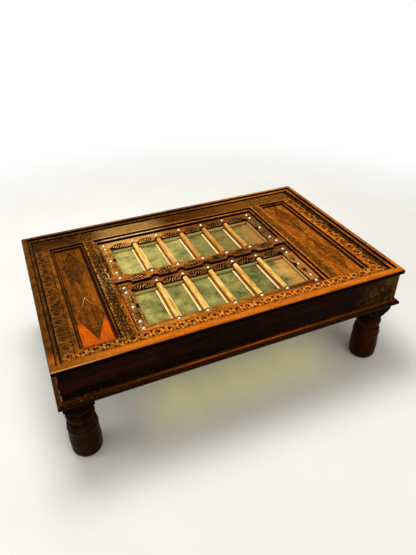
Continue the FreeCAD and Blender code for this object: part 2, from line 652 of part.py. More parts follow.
def row_of_leaves(name, y, top):
    """Leaf fields between the bars, and between the last bars and the ends."""
    spots = ["-outer_bay"] + [f"({step} + 1 / 2) * bar_pitch" for step in BAR_STEPS[:-1]] + ["outer_bay"]
    return [leaf_pocket(f"{name}_leaf_{index}", x, y, top) for index, x in enumerate(spots)]


def rail_tenons(name, low_y, high_y, play="0"):
    """The tenons, or with play the mortises, of the two end rails: left, then right."""
    return [block(f"{name}_left",
                  (f"-(rail_x + rail_tenon_side + rail_tenon_width + {play})", low_y, f"rail_tenon_foot - {play}"),
                  (f"-(rail_x + rail_tenon_side - {play})", high_y, f"rail_tenon_top + {play}")),
            block(f"{name}_right",
                  (f"rail_x + rail_tenon_side - {play}", low_y, f"rail_tenon_foot - {play}"),
                  (f"rail_x + rail_tenon_side + rail_tenon_width + {play}", high_y, f"rail_tenon_top + {play}"))]


def pin_bores(name, pin_y):
    """Bores in the two ends of a hinge stile."""
    return [round_bar(f"{name}_bore_left", ("-shutter_x - cut_overrun", pin_y, "pin_z"),
                      "pin_radius + pin_play", "pin_embed + cut_overrun", TURN_TO_X),
            round_bar(f"{name}_bore_right", ("shutter_x - pin_embed", pin_y, "pin_z"),
                      "pin_radius + pin_play", "pin_embed + cut_overrun", TURN_TO_X)]


def notched_stile(name, outer, pane, side, extra):
    """A long stile whose pane edge has a round notch and a housing at each bar."""
    low, high = (pane, outer) if side > 0 else (outer, pane)
    foot = block(name + "_foot", ("-shutter_x", low, "shutter_foot"), ("shutter_x", high, "plate_foot"))
    edge = f"{pane} + {side} * plate_setback"
    low, high = (edge, outer) if side > 0 else (outer, edge)
    plate = block(name + "_plate", ("-shutter_x", low, "plate_foot"), ("shutter_x", high, "shutter_top"))
    low, high = ((f"{pane} - cut_overrun", f"{pane} + rebate_width") if side > 0
                 else (f"{pane} - rebate_width", f"{pane} + cut_overrun"))
    rebate = block(name + "_rebate", ("-rail_x - rebate_width", low, "shutter_foot - cut_overrun"),
                   ("rail_x + rebate_width", high, "glass_top"))
    start = f"{pane} - cut_overrun" if side > 0 else f"{pane} - bar_housing - joint_play"
    housings = [round_bar(f"{name}_housing_{step + 2}", (f"{step} * bar_pitch", start, "bar_z"),
                          "bar_radius + joint_play", "bar_housing + cut_overrun + joint_play", TURN_TO_Y)
                for step in BAR_STEPS]
    notches = notch_tools(name, edge, side, BAR_STEPS) + corner_notches(name, edge)
    tools = [rebate] + housings + notches + extra
    return cut(name, joined(name + "_blank", [foot, plate]), tools)


def plain_stile(name, outer, pane, side, extra):
    """A long stile with a straight pane edge, bored for the bars' round tenons."""
    low, high = (pane, outer) if side > 0 else (outer, pane)
    solid = block(name + "_blank", ("-shutter_x", low, "shutter_foot"), ("shutter_x", high, "shutter_top"))
    low, high = ((f"{pane} - cut_overrun", f"{pane} + rebate_width") if side > 0
                 else (f"{pane} - rebate_width", f"{pane} + cut_overrun"))
    rebate = block(name + "_rebate", ("-rail_x - rebate_width", low, "shutter_foot - cut_overrun"),
                   ("rail_x + rebate_width", high, "glass_top"))
    start = f"{pane} - cut_overrun" if side > 0 else f"{pane} - bar_tenon_length - joint_play"
    sockets = [round_bar(f"{name}_socket_{step + 2}", (f"{step} * bar_pitch", start, "bar_z"),
                         "bar_tenon_radius + joint_play", "bar_tenon_length + cut_overrun + joint_play", TURN_TO_Y)
               for step in BAR_STEPS]
    return cut(name, solid, [rebate] + sockets + extra)


def hinge_rounding(name, edge, side):
    """What is taken off a stile's top hinge arris to round it, so that it can swing past the frame."""
    low, high = ((f"{edge} - hinge_round", f"{edge} + cut_overrun") if side > 0
                 else (f"{edge} - cut_overrun", f"{edge} + hinge_round"))
    corner = block(name + "_corner", ("-shutter_x - cut_overrun", low, "shutter_top - hinge_round"),
                   ("shutter_x + cut_overrun", high, "shutter_top + cut_overrun"))
    rod = round_bar(name + "_roll", ("-shutter_x - 2 * cut_overrun", f"{edge} - {side} * hinge_round",
                                     "shutter_top - hinge_round"),
                    "hinge_round", "2 * shutter_x + 4 * cut_overrun", TURN_TO_X)
    return cut(name, corner, [rod])


def end_rail(name, side, near, far, stud_levels):
    """A short rail, tenoned into both stiles, with a notch at its middle stud and a leaf on either side."""
    inner, outer = ("rail_x", "shutter_x") if side > 0 else ("-rail_x", "-shutter_x")
    low, high = (inner, outer) if side > 0 else (outer, inner)
    foot = block(name + "_foot", (low, near, "shutter_foot"), (high, far, "plate_foot"))
    edge = f"{inner} + {side} * plate_setback"
    low, high = (edge, outer) if side > 0 else (outer, edge)
    plate = block(name + "_plate", (low, near, "plate_foot"), (high, far, "shutter_top"))
    tenon = rail_tenons(name + "_tenon", f"{near} - rail_tenon_length", f"{far} + rail_tenon_length")
    low, high = ((f"{inner} - cut_overrun", f"{inner} + rebate_width") if side > 0
                 else (f"{inner} - rebate_width", f"{inner} + cut_overrun"))
    rebate = block(name + "_rebate", (low, f"{near} - cut_overrun", "shutter_foot - cut_overrun"),
                   (high, f"{far} + cut_overrun", "glass_top"))
    notch = round_bar(name + "_notch", (f"{edge} - {side} * end_notch_centre", stud_levels[1], "plate_foot"),
                      "notch_radius", "plate_thickness + cut_overrun")
    leaves = [leaf_pocket(f"{name}_leaf_{index}", f"{inner} + {side} * end_leaf_inset",
                          f"({stud_levels[index]} + {stud_levels[index + 1]}) / 2", "shutter_top",
                          "end_leaf_length", "end_leaf_width", turned=True) for index in (0, 1)]
    blank = joined(name + "_blank", [foot, plate, tenon[1 if side > 0 else 0]])
    keep(cut(name, blank, [rebate, notch] + leaves), name)


def studs(name, spots, level):
    """Domed studs, flat side down."""
    domes = []
    for index, (x, y) in enumerate(spots):
        dome = doc.addObject("Part::Sphere", f"{name}_{index}")
        bind(dome, Radius="stud_sphere", Angle1="asin((stud_sphere - stud_height) / stud_sphere)")
        domes.append(place(dome, (x, y, f"{level} - stud_sphere + stud_height")))
    keep(group(name, domes), name)


def row_of_studs(y):
    return [("-stud_x", y)] + [(f"{step} * bar_pitch", y) for step in BAR_STEPS] + [("stud_x", y)]


def build_shutter(prefix, hinge_edge, meeting_edge, side, far, near, stud_rows, end_shares):
    """side is +1 where the hinge is at the back. far and near are the two edges of the panes."""
    pin_y = prefix + "_pin_y"
    name = prefix + "_shutter_"
    hinge_pane, meeting_pane = (far, near) if side > 0 else (near, far)
    mortises = rail_tenons(name + "hinge_mortise",
                           f"{hinge_pane} - cut_overrun" if side > 0 else
                           f"{hinge_pane} - rail_tenon_length - joint_play",
                           f"{hinge_pane} + rail_tenon_length + joint_play" if side > 0 else
                           f"{hinge_pane} + cut_overrun", "joint_play")
    hinge_cuts = mortises + pin_bores(name + "hinge", pin_y) + [hinge_rounding(name + "round", hinge_edge, side)]
    meeting_cuts = rail_tenons(name + "meeting_mortise",
                               f"{meeting_pane} - cut_overrun" if side < 0 else
                               f"{meeting_pane} - rail_tenon_length - joint_play",
                               f"{meeting_pane} + rail_tenon_length + joint_play" if side < 0 else
                               f"{meeting_pane} + cut_overrun", "joint_play")
    if side > 0:
        hinge_cuts += row_of_leaves(name + "hinge_stile", f"{far} + back_leaf_inset", "shutter_top")
        keep(notched_stile(name + "hinge_stile", hinge_edge, far, 1, hinge_cuts), name + "hinge_stile")
        keep(plain_stile(name + "meeting_stile", meeting_edge, near, -1, meeting_cuts), name + "meeting_stile")
    else:
        meeting_cuts += row_of_leaves(name + "meeting_stile", f"{far} + meeting_leaf_inset", "shutter_top")
        keep(notched_stile(name + "meeting_stile", meeting_edge, far, 1, meeting_cuts), name + "meeting_stile")
        keep(plain_stile(name + "hinge_stile", hinge_edge, near, -1, hinge_cuts), name + "hinge_stile")
    back = "back_edge" if side > 0 else "front_meet"
    stud_levels = [f"({back} - {share} * {prefix}_shutter_depth)" for share in end_shares]
    end_rail(name + "end_rail_left", -1, near, far, stud_levels)
    end_rail(name + "end_rail_right", 1, near, far, stud_levels)

    bars = []
    laths = []
    for step in BAR_STEPS:
        x = f"{step} * bar_pitch"
        rod = round_bar(f"{name}bar_{step + 2}_rod", (x, near, "bar_z"),
                        "bar_radius", f"{far} - ({near}) + bar_housing", TURN_TO_Y)
        tenon = round_bar(f"{name}bar_{step + 2}_tenon", (x, f"{near} - bar_tenon_length", "bar_z"),
                          "bar_tenon_radius", "2 * bar_tenon_length", TURN_TO_Y)
        bars.append(joined(f"{name}bar_{step + 2}", [rod, tenon]))
        laths.append(block(f"{name}lath_{step + 2}", (f"{x} - lath_width / 2", near, "glass_top"),
                           (f"{x} + lath_width / 2", far, "lath_top")))
    keep(group(name + "bars", bars), name + "bars")
    keep(group(name + "laths", laths), name + "laths")

    low = ("glass_play - rail_x - rebate_width", f"{near} - rebate_width + glass_play")
    high = ("rail_x + rebate_width - glass_play", f"{far} + rebate_width - glass_play")
    keep(block(name + "glass", low + ("glass_foot",), high + ("glass_top",)), name + "glass")
    battens = [block(name + "batten_front", (low[0], low[1], "shutter_foot"), (high[0], near, "glass_foot")),
               block(name + "batten_back", (low[0], far, "shutter_foot"), (high[0], high[1], "glass_foot")),
               block(name + "batten_left", (low[0], near, "shutter_foot"), ("-rail_x", far, "glass_foot")),
               block(name + "batten_right", ("rail_x", near, "shutter_foot"), (high[0], far, "glass_foot"))]
    keep(group(name + "battens", battens), name + "battens")

    pins = [round_bar(name + "pin_left", ("-shutter_x - shutter_gap - pin_reach", pin_y, "pin_z"),
                      "pin_radius", "pin_reach + shutter_gap + pin_embed", TURN_TO_X),
            round_bar(name + "pin_right", ("shutter_x - pin_embed", pin_y, "pin_z"),
                      "pin_radius", "pin_reach + shutter_gap + pin_embed", TURN_TO_X)]
    keep(group(name + "pins", pins), name + "pins")

    spots = []
    for row in stud_rows:
        spots += row_of_studs(row)
    for level in stud_levels:
        for end in (-1, 1):
            spots.append((f"{end} * stud_x", level))
    studs(name + "studs", spots, "shutter_top")


def build_cover_strip():
    """Scalloped strip on the back shutter's meeting stile. Its thinned ends lap over the window bead."""
    name = "cover_strip"
    blank = block(name + "_blank", ("-strip_x", "back_meet", "shutter_top"), ("strip_x", "strip_back", "strip_top"))
    tools = [round_bar(f"{name}_scallop_{step + 2}",
                       (f"{step} * bar_pitch", "back_meet - scallop_radius + scallop_depth",
                        "shutter_top - cut_overrun"),
                       "scallop_radius", "strip_thickness + 2 * cut_overrun") for step in BAR_STEPS]
    for index, start in enumerate((-3, -2, -1, 0, 1, 2)):
        tools.append(round_bar(f"{name}_bay_{index}",
                               (f"({start} + 1 / 2) * bar_pitch", "strip_back - bay_depth + bay_radius",
                                "shutter_top - cut_overrun"),
                               "bay_radius", "strip_thickness + 2 * cut_overrun"))
    for end, side in (("left", -1), ("right", 1)):
        inner, outer = "window_x - ledge_width - shutter_gap", "strip_x + cut_overrun"
        low, high = (inner, outer) if side > 0 else (f"-({outer})", f"-({inner})")
        tools.append(block(f"{name}_lap_{end}", (low, "back_meet - cut_overrun", "shutter_top - cut_overrun"),
                           (high, "strip_back + cut_overrun", "bead_crest + strip_lap_play")))
        inner = "strip_x - strip_tab"
        low, high = (inner, outer) if side > 0 else (f"-({outer})", f"-({inner})")
        tools.append(block(f"{name}_shoulder_{end}", (low, "back_meet - cut_overrun", "shutter_top - cut_overrun"),
                           (high, "back_meet + strip_shoulder", "strip_top + cut_overrun")))
        tools.append(round_bar(f"{name}_cove_{end}",
                               (f"{side} * (strip_x - strip_tab)", "back_meet", "shutter_top - cut_overrun"),
                               "strip_shoulder", "strip_thickness + 2 * cut_overrun"))
    tools += row_of_leaves(name, "back_meet + strip_leaf_inset", "strip_top")
    keep(cut(name, blank, tools), name)
    studs("cover_strip_studs", row_of_studs("back_meet + strip_stud_inset"), "strip_top")


def write_parts():
    doc.recompute()
    for thing in doc.Objects:
        if "Invalid" in thing.State or "Error" in thing.State:
            raise RuntimeError(f"{thing.Name} is not built: {thing.State}")
    os.makedirs("parts", exist_ok=True)
    for thing in kept:
        shape = thing.Shape
        if shape.isNull() or not shape.isValid() or not shape.Solids:
            raise RuntimeError(f"{thing.Label} has no valid solid")
        shape.exportStep(f"parts/{thing.Label}.step")
        print(f"{thing.Label}: {len(shape.Solids)} solid, {shape.Volume / 1000:.1f} cm3")
    print(len(kept), "sub-parts")


build_rim()
build_box()
build_base_moulding()
build_legs()
build_frame_rails()
build_frame_stiles()
build_panels()
build_beads()
build_shutter("back", "back_edge", "back_meet", 1, "back_pane_far", "back_pane_near",
              ("back_edge - back_stud_inset",), BACK_END_STUD_SHARES)
build_shutter("front", "front_edge", "front_meet", -1, "front_pane_far", "front_pane_near",
              ("front_meet - meeting_stud_inset", "front_edge + front_stud_inset"), FRONT_END_STUD_SHARES)
build_cover_strip()
write_parts()
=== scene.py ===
import math

import bpy
import numpy as np
from mathutils import Matrix, Vector


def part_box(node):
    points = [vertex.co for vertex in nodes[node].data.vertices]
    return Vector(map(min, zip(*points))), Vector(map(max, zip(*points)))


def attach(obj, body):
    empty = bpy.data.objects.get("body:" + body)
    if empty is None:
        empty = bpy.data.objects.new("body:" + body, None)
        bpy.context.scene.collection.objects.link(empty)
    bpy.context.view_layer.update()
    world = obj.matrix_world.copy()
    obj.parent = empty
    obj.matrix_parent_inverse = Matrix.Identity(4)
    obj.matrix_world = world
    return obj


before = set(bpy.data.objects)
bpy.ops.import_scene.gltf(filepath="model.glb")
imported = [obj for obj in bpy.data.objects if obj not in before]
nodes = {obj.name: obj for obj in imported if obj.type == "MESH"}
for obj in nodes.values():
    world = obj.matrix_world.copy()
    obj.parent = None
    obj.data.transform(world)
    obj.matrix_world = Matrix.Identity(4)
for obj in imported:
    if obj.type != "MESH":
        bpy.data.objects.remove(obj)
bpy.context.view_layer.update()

# The looks of a low coffee table whose top is an old carved timber window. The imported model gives
# every shape and place. This script adds the carving, and a material for every piece.
# Materials and lights are in metres, carvings in millimetres until they become meshes. Texture
# positions are in the frame's axes: +X along the length, +Y to the back, +Z up.

MM = 0.001


def box_mm(node):
    low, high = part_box(node)
    return [c / MM for c in low], [c / MM for c in high]


def middle_mm(node):
    return [(low + high) / 2 for low, high in zip(*box_mm(node))]


# Sizes of the sunk fields and places of bars and studs, in millimetres, as in the part's source
FIELD_DEPTH, LEDGE = 2.0, 11.0
FIELD_MARGIN, RAIL_MARGIN, END_MARGIN, RIM_MARGIN = 6.0, 4.0, 10.0, 1.5
LOZENGE, LOZENGE_PITCH = (232.0, 84.0), 300.0
LEAF, END_LEAF = (67.0, 33.0), (44.0, 17.0)
BAR_PITCH, STUD_X, END_FIELD_X = 97.4, 311.0, 308.0
END_SPOT = (STUD_X + 2 * BAR_PITCH) / 2
LEAF_SPOTS = (-END_SPOT, *((step + 0.5) * BAR_PITCH for step in (-2, -1, 0, 1)), END_SPOT)
# How far the leaf-shaped fields lie from the front edge of the piece that carries them
HINGE_INSET, MEETING_INSET, COVER_INSET = 19.0, 18.5, 20.0
# Where the end rails' studs sit, as shares of each shutter's depth from its back edge
BACK_STUD_SHARES, FRONT_STUD_SHARES = (0.155, 0.445, 0.715), (0.15, 0.48, 0.79)


# Small tools for node trees

def math_node(operation):
    """A method that puts a field, and another one or a number, into a math node."""
    def method(self, other=0.0):
        return self.tree.math(operation, self, other)
    return method


class Field:
    """One output of a node: a number, colour, direction or shader. Arithmetic on it adds nodes."""

    __add__, __sub__ = math_node("ADD"), math_node("SUBTRACT")
    __mul__, __truediv__ = math_node("MULTIPLY"), math_node("DIVIDE")
    __gt__, __lt__ = math_node("GREATER_THAN"), math_node("LESS_THAN")
    __abs__, either = math_node("ABSOLUTE"), math_node("MAXIMUM")

    def __init__(self, tree, socket):
        self.tree, self.socket = tree, socket

    def fit(self, low, high, to_low, to_high):
        """Goes smoothly from to_low, where this number is low, to to_high, where it is high."""
        made = self.tree.node("ShaderNodeMapRange", interpolation_type="SMOOTHSTEP")
        return self.tree.feed(made, self, low, high, to_low, to_high)

    def rise(self, low, high, top=1.0):
        return self.fit(low, high, 0.0, top)

    def fall(self, low, high, top=1.0):
        return self.fit(low, high, top, 0.0)


class Tree:
    """Builds the node tree of one material or of the world."""

    def __init__(self, owner, output="ShaderNodeOutputMaterial"):
        owner.use_nodes = True
        self.owner, self.nodes, self.links = owner, owner.node_tree.nodes, owner.node_tree.links
        self.nodes.clear()
        self.output = self.node(output)
        coordinates = self.node("ShaderNodeTexCoord").outputs
        self.place = Field(self, coordinates["Object"])
        self.x, self.y, self.z = (self.part(self.place, letter) for letter in "XYZ")
        self.up = self.part(Field(self, coordinates["Normal"]), "Z")

    def node(self, kind, **settings):
        made = self.nodes.new(kind)
        for name, setting in settings.items():
            setattr(made, name, setting)
        return made

    def plug(self, socket, source):
        if isinstance(source, Field):
            self.links.new(source.socket, socket)
        else:
            socket.default_value = source

    def feed(self, made, *sources, output=0, **named):
        """Fills a node's inputs, in order or by name, and gives one of its outputs."""
        for key, source in (*enumerate(sources), *named.items()):
            self.plug(made.inputs[key], source)
        return Field(self, made.outputs[output])

    def part(self, vector, letter):
        return self.feed(self.node("ShaderNodeSeparateXYZ"), vector, output=letter)

    def math(self, operation, first, second=0.0):
        return self.feed(self.node("ShaderNodeMath", operation=operation), first, second)

    def noise(self, scale, detail=4.0, rough=0.55, twist=0.0, place=None):
        return self.feed(self.node("ShaderNodeTexNoise"), Vector=place or self.place, Scale=scale,
                         Detail=detail, Roughness=rough, Distortion=twist, output="Fac")

    def fibres(self, axis, along, across, **settings):
        """Noise with its own number of cells per metre along one axis and across it."""
        scale = [along if letter == axis else across for letter in "xyz"]
        place = self.feed(self.node("ShaderNodeMapping"), Vector=self.place, Scale=scale)
        return self.noise(1.0, place=place, **settings)

    def ramp(self, source, *stops):
        made = self.node("ShaderNodeValToRGB")
        elements = made.color_ramp.elements
        while len(elements) < len(stops):
            elements.new(0.5)
        for element, (place, colour) in zip(elements, stops):
            element.position = place
            element.color = colour
        return self.feed(made, source)

    def mix(self, share, low, high):
        """Mixes two colours. The node keeps its colour sockets after those of its other types."""
        made = self.node("ShaderNodeMix", data_type="RGBA")
        for index, source in ((0, share), (6, low), (7, high)):
            self.plug(made.inputs[index], source)
        return Field(self, made.outputs[2])

    def bump(self, height, distance, strength, normal=None):
        made = self.node("ShaderNodeBump")
        if normal is not None:
            self.plug(made.inputs["Normal"], normal)
        return self.feed(made, Height=height, Distance=distance, Strength=strength)

    def rounded(self, radius):
        return self.feed(self.node("ShaderNodeBevel", samples=4), Radius=radius)

    def edges(self, rounded_normal):
        """1 on the arrises, 0 on the flats."""
        flat_normal = Field(self, self.node("ShaderNodeNewGeometry").outputs["Normal"])
        dot = self.node("ShaderNodeVectorMath", operation="DOT_PRODUCT")
        return self.feed(dot, flat_normal, rounded_normal, output="Value").fall(0.80, 0.985)

    def hollows(self, distance):
        return self.feed(self.node("ShaderNodeAmbientOcclusion", samples=6), Distance=distance, output="AO")

    def path(self, kind):
        return Field(self, self.node("ShaderNodeLightPath").outputs[kind])

    def seen(self):
        """1 for what the camera sees, straight or through glass."""
        return self.path("Is Camera Ray").either(self.path("Is Transmission Ray"))

    def blend(self, share, first, second):
        return self.feed(self.node("ShaderNodeMixShader"), share, first, second)

    def surface(self, shader):
        self.plug(self.output.inputs["Surface"], shader)
        return self.owner

    def principled(self, **sockets):
        named = {name.replace("_", " "): source for name, source in sockets.items()}
        return self.surface(self.feed(self.node("ShaderNodeBsdfPrincipled"), **named))


def srgb(red, green, blue):
    """A colour as a screen shows it, in 0 to 255, as linear values with full cover."""
    def linear(part):
        part /= 255.0
        return part / 12.92 if part <= 0.04045 else ((part + 0.055) / 1.055) ** 2.4
    return (*(linear(part) for part in (red, green, blue)), 1.0)


# Old wood: what all kinds share

# Noise cells per metre along the grain and across it
GRAIN, STREAKS, PORES, BAR_GRAIN = (1.6, 34.0), (6.0, 130.0), (14.0, 420.0), (16.0, 150.0)
# Painted shade of the left end and the back, from dark to less dark
AGED, AGED_LIGHT = srgb(28, 16, 1), srgb(84, 48, 3)
# Painted light along the front, and golden at the back right
FRONT_GLOW, GOLDEN = srgb(204, 105, 16), srgb(186, 122, 30)
TAN, CREAM, SOOT = srgb(228, 172, 88), srgb(255, 224, 166), srgb(18, 10, 1)
SHEEN = (1.0, 0.62, 0.18, 1.0)
CARVED_GLOSS, HOLLOW_REACH = 0.42, 9 * MM

# Stretches over which the looks change, in metres along the axis that ends the name
LEFT_END_X, LEFT_PART_X, RIGHT_END_X = (-0.42, -0.27), (-0.30, -0.20), (0.38, 0.42)
LEFT_FRONT_Y, FRONT_LEFT_X, FRONT_LEFT_Y = (-0.372, -0.30), (-0.580, -0.34), (-0.36, -0.34)
# Where painted shade lies at the back, and the stretch of a painted reflection at the back left
OLD_BACK_Y, OLD_BACK_X = (0.24, 0.33), (0.02, 0.36)
WORN_FROM_X, WORN_TO_X, WORN_Y = (-0.37, -0.26), (-0.13, -0.02), (0.16, 0.23)
FRONT_BAND_Y, BACK_BAND_Y, BACK_RIGHT_X = (-0.335, -0.30), (0.26, 0.30), (0.05, 0.35)
# What counts as upright, by the upward part of a face's direction
UPRIGHT = (0.25, 0.72)


class Wood(Tree):
    """Old waxed wood, grained along one axis, dark in its hollows with dirt and painted shade, and pale on
    its arrises with wear, and on some kinds with painted highlights.

    Each kind of wood has its own class. It colours the wood below the pores in under(), above them
    in over() and, where it isn't carved, in details().
    """

    # How strong the painted shade on upright faces is, how much painted shade the left end and back get, how
    # spotted it is
    stained, aging, spotted = 0.0, 0.0, 1.0
    # How pale the arrises are, and how wide
    paleness, arris = 0.60, 1.4 * MM
    gloss, shine = 0.42, 0.045
    # Carve heights between which the dirt and painted shade of the ground end
    ground = (0.12, 0.66)
    # Levels below which the wood is painted black as shade in its grooves, and above which it is clean
    crest = None

    def __init__(self, axis, carved=False, deep=0.0):
        name = f"{self.kind}_wood_{axis}" + (f"_carved_{round(deep * 100)}" if carved else "")
        super().__init__(bpy.data.materials.new(name))
        self.axis, self.carved = axis, carved
        self.grain = self.fibres(axis, *GRAIN, detail=7.0, rough=0.62, twist=0.9)
        self.pores = self.fibres(axis, *PORES, detail=2.0, rough=0.5)
        self.streaks = self.fibres(axis, *STREAKS, detail=5.0, rough=0.7, twist=0.4)
        self.patches = self.noise(7.0, rough=0.6)
        self.blotch = self.noise(19.0, detail=5.0, rough=0.68)
        self.mottle = self.noise(62.0, detail=5.0, rough=0.75)
        self.specks = self.noise(120.0, rough=0.75)
        self.weather()
        self.under()
        self.tint(self.pores.fall(0.36, 0.50, 0.50), self.dark)
        self.tint(self.specks.fall(0.30, 0.44, 0.70), self.dirt)
        self.over()
        normal = self.carve(deep) if carved else self.face()
        marks = self.grain * 0.7 + self.streaks * 0.6 + self.mottle * 0.8
        gloss = CARVED_GLOSS if carved else self.gloss
        self.principled(Base_Color=self.colour, Normal=self.bump(marks, MM, 0.50, normal),
                        Roughness=self.patches.fit(0.3, 0.7, gloss - 0.08, gloss + 0.14),
                        Specular_IOR_Level=self.shine, Specular_Tint=SHEEN)

    def tint(self, share, colour):
        self.colour = self.mix(share, self.colour, colour)

    def weather(self):
        """Grain, patches and stains of three browns."""
        self.colour = self.ramp(self.grain, (0.34, self.dark), (0.50, self.middle), (0.66, self.light))
        self.tint(self.patches.rise(0.50, 0.74, 0.40), self.light)
        self.tint(self.patches.fall(0.26, 0.46, 0.60), self.dark)
        self.tint(self.streaks.fall(0.32, 0.47, 0.80), self.dark)
        self.tint(self.streaks.rise(0.56, 0.70, 0.55), self.light)
        self.tint(self.blotch.fall(0.30, 0.45, 0.65 * self.spotted), self.dark)
        self.tint(self.mottle.fall(0.32, 0.46, 0.72 * self.spotted), self.dark)
        self.tint(self.mottle.rise(0.56, 0.68, 0.55 * self.spotted), self.light)

    def under(self):
        if self.aging:
            self.age()

    def over(self):
        pass

    def details(self):
        pass

    def ridge(self, share):
        """How pale the carving's crests are."""
        return share

    def aged_zone(self):
        """Painted shade: the left end, and less so the back, is darker and greener than the rest."""
        left = self.x.fall(*LEFT_END_X) * self.y.fit(*LEFT_FRONT_Y, 0.26, 1.0)
        corner = self.x.fall(*FRONT_LEFT_X, 0.80) * self.y.fall(*FRONT_LEFT_Y)
        back = self.y.rise(*OLD_BACK_Y, 0.80) * self.x.fit(*OLD_BACK_X, 1.0, 0.06)
        return left.either(corner).either(back)

    def age(self, least=0.55):
        # Pale specks of wear, then painted shade, darker and greener, on the left end and the back
        self.tint(self.specks.rise(0.57, 0.72, 0.25 if self.carved else 0.5), self.worn)
        share = self.aged_zone() * self.blotch.fit(0.34, 0.72, self.aging, self.aging * least)
        self.tint(share, self.mix(self.mottle.rise(0.36, 0.62), AGED, AGED_LIGHT))

    def rub(self, share, colour):
        """A painted reflection: pale wood in a stretch at the back left."""
        across = self.x.rise(*WORN_FROM_X) * self.x.fall(*WORN_TO_X) * self.y.rise(*WORN_Y)
        self.tint(across * self.noise(30.0, detail=5.0).rise(0.22, 0.44) * share, colour)

    def glow(self):
        """Painted light: more orange along the front and more golden at the back right."""
        self.tint(self.y.fall(*FRONT_BAND_Y, 0.72), FRONT_GLOW)
        self.tint(self.y.rise(*BACK_BAND_Y) * self.x.rise(*BACK_RIGHT_X, 0.45), GOLDEN)

    def mottle_right(self, share):
        """Stronger spots at the right end."""
        right = self.x.rise(*RIGHT_END_X, share)
        self.tint(right * self.mottle.fall(0.40, 0.52, 0.45), self.dark)
        self.tint(right * self.mottle.rise(0.52, 0.62, 0.35), self.worn)

    def carve(self, deep):
        """Pale crests of wear and painted highlight, and a ground dark with dirt and painted shade, by the
        carve heights that the relief carries.
        """
        relief = self.feed(self.node("ShaderNodeAttribute", attribute_name="carve"), output="Fac")
        self.tint(self.ridge(relief.rise(0.72, 0.98, 0.65)), self.worn)
        self.tint(relief.fall(*self.ground, deep), self.dirt)

    def face(self):
        """Painted shade on upright sides and in grooves, pale arrises of wear, and dirt and painted shade in
        the corners. Gives the rounded direction of the faces.
        """
        normal = self.rounded(self.arris)
        if self.stained:
            self.tint(self.up.fall(*UPRIGHT, self.stained), self.stain)
        if self.crest:
            self.tint(self.z.fall(*self.crest, 0.96), self.dirt)
        self.details()
        rubbed = self.edges(normal) * self.noise(60.0, detail=3.0).rise(0.38, 0.62)
        self.tint(rubbed * self.paleness, self.worn)
        # Dirt and painted shade in the hollows
        self.tint(self.hollows(HOLLOW_REACH).fall(0.35, 0.95, 0.90), self.dirt)
        return normal


# The window frame and the rim

FLECK, GILT = srgb(206, 140, 40), srgb(246, 176, 74)
FRAME_MARGIN_X, CARVED_FRONT_Y = (0.5450, 0.5530), (-0.30, -0.28)
MIDDLE_STILE_X, STILE_REACH = 0.366, (0.024, 0.028)
SOOTY_X, SCUFFED_Y = (-0.20, 0.20), (0.03, 0.09)
RIM_FRONT_Y, RIM_TOP_Z, RIM_LEFT_X = (-0.3845, -0.3820), (0.416, 0.419), (-0.54, -0.34)


class FrameWood(Wood):
    kind = "frame"
    dark, middle, light = srgb(74, 32, 2), srgb(156, 80, 7), srgb(204, 112, 16)
    worn, dirt, stain = srgb(238, 160, 62), srgb(12, 4, 1), srgb(16, 7, 2)
    stained, aging, ground = 0.92, 0.95, (0.18, 0.76)

    def under(self):
        self.glow()
        self.mottle_right(1.0)
        self.age()
        self.rub(0.94, TAN)

    def over(self):
        """A right margin painted dark as shadow, sooty and flecked middle stiles, and painted highlights and
        shade flecked into the front rail's carving.
        """
        fleck = self.noise(130.0, rough=0.8)
        # Painted shadow along the right margin of the fields
        self.tint(self.x.rise(*FRAME_MARGIN_X, 0.93) * self.mottle.fit(0.34, 0.50, 0.6, 1.0), self.dirt)
        stile = abs(abs(self.x) - MIDDLE_STILE_X).fall(*STILE_REACH)
        self.tint(fleck.fall(0.42, 0.54, self.x.fit(*SOOTY_X, 0.94, 0.45)) * stile, SOOT)
        self.tint(fleck.rise(0.53, 0.61, 0.80) * stile, FLECK)
        scuffed = abs(self.y).fall(*SCUFFED_Y) * self.x.fall(*LEFT_PART_X) * fleck.rise(0.50, 0.58)
        self.tint(scuffed * (stile * 0.95), TAN)
        if self.carved and self.axis == "x":
            # Painted highlights and shade as flecks in the front rail's carving
            front = self.y.fall(*CARVED_FRONT_Y)
            self.tint(front * fleck.rise(0.54, 0.62, 0.62), GILT)
            self.tint(front * fleck.fall(0.36, 0.46, 0.60), self.dark)

    def ridge(self, share):
        return share * self.aged_zone().fit(0.0, 1.0, 1.0, 0.25)


class RimWood(Wood):
    kind = "rim"
    dark, middle, light = srgb(84, 38, 3), srgb(160, 82, 8), srgb(206, 116, 20)
    worn, dirt, stain = srgb(240, 170, 80), srgb(12, 5, 1), srgb(8, 3, 1)
    stained, aging, gloss = 1.0, 1.0, 0.36
    crest = (414.4 * MM, 415.8 * MM)

    def under(self):
        self.glow()
        self.age(0.82)

    def details(self):
        """Shine only on top, and a pale front arris on the left, of wear and painted highlight."""
        self.shine = self.up.rise(*UPRIGHT, self.shine)
        front = self.y.fall(*RIM_FRONT_Y) * self.z.rise(*RIM_TOP_Z) * self.x.fall(*RIM_LEFT_X)
        self.tint(front * 0.70, self.worn)


# The end panels and the beads

BURNT_ORANGE, ORANGE_GLOW = srgb(230, 94, 4), srgb(222, 112, 14)
PANEL_X = middle_mm("panel_right")[0] * MM
NEAR_LOZENGE_Y = (middle_mm("panel_left")[1] - LOZENGE_PITCH / 2) * MM
TRIANGLES_Y, REAR_EDGES_Y, REAR_TIP_Y = (-0.215, -0.18), (-0.125, -0.075), -0.03
OLD_PANEL_Y = (-0.06, 0.12)
# Where the painted shade along the panels' margins starts, to the right of a panel's middle and at its back
PANEL_MARGIN_RIGHT, PANEL_MARGIN_Y = (0.0415, 0.0455), (0.262, 0.266)
BEAD_LEFT_X, BEAD_RIGHT_X, BEAD_FRONT_Y = (-0.34, -0.30), (0.30, 0.335), (-0.16, -0.08)


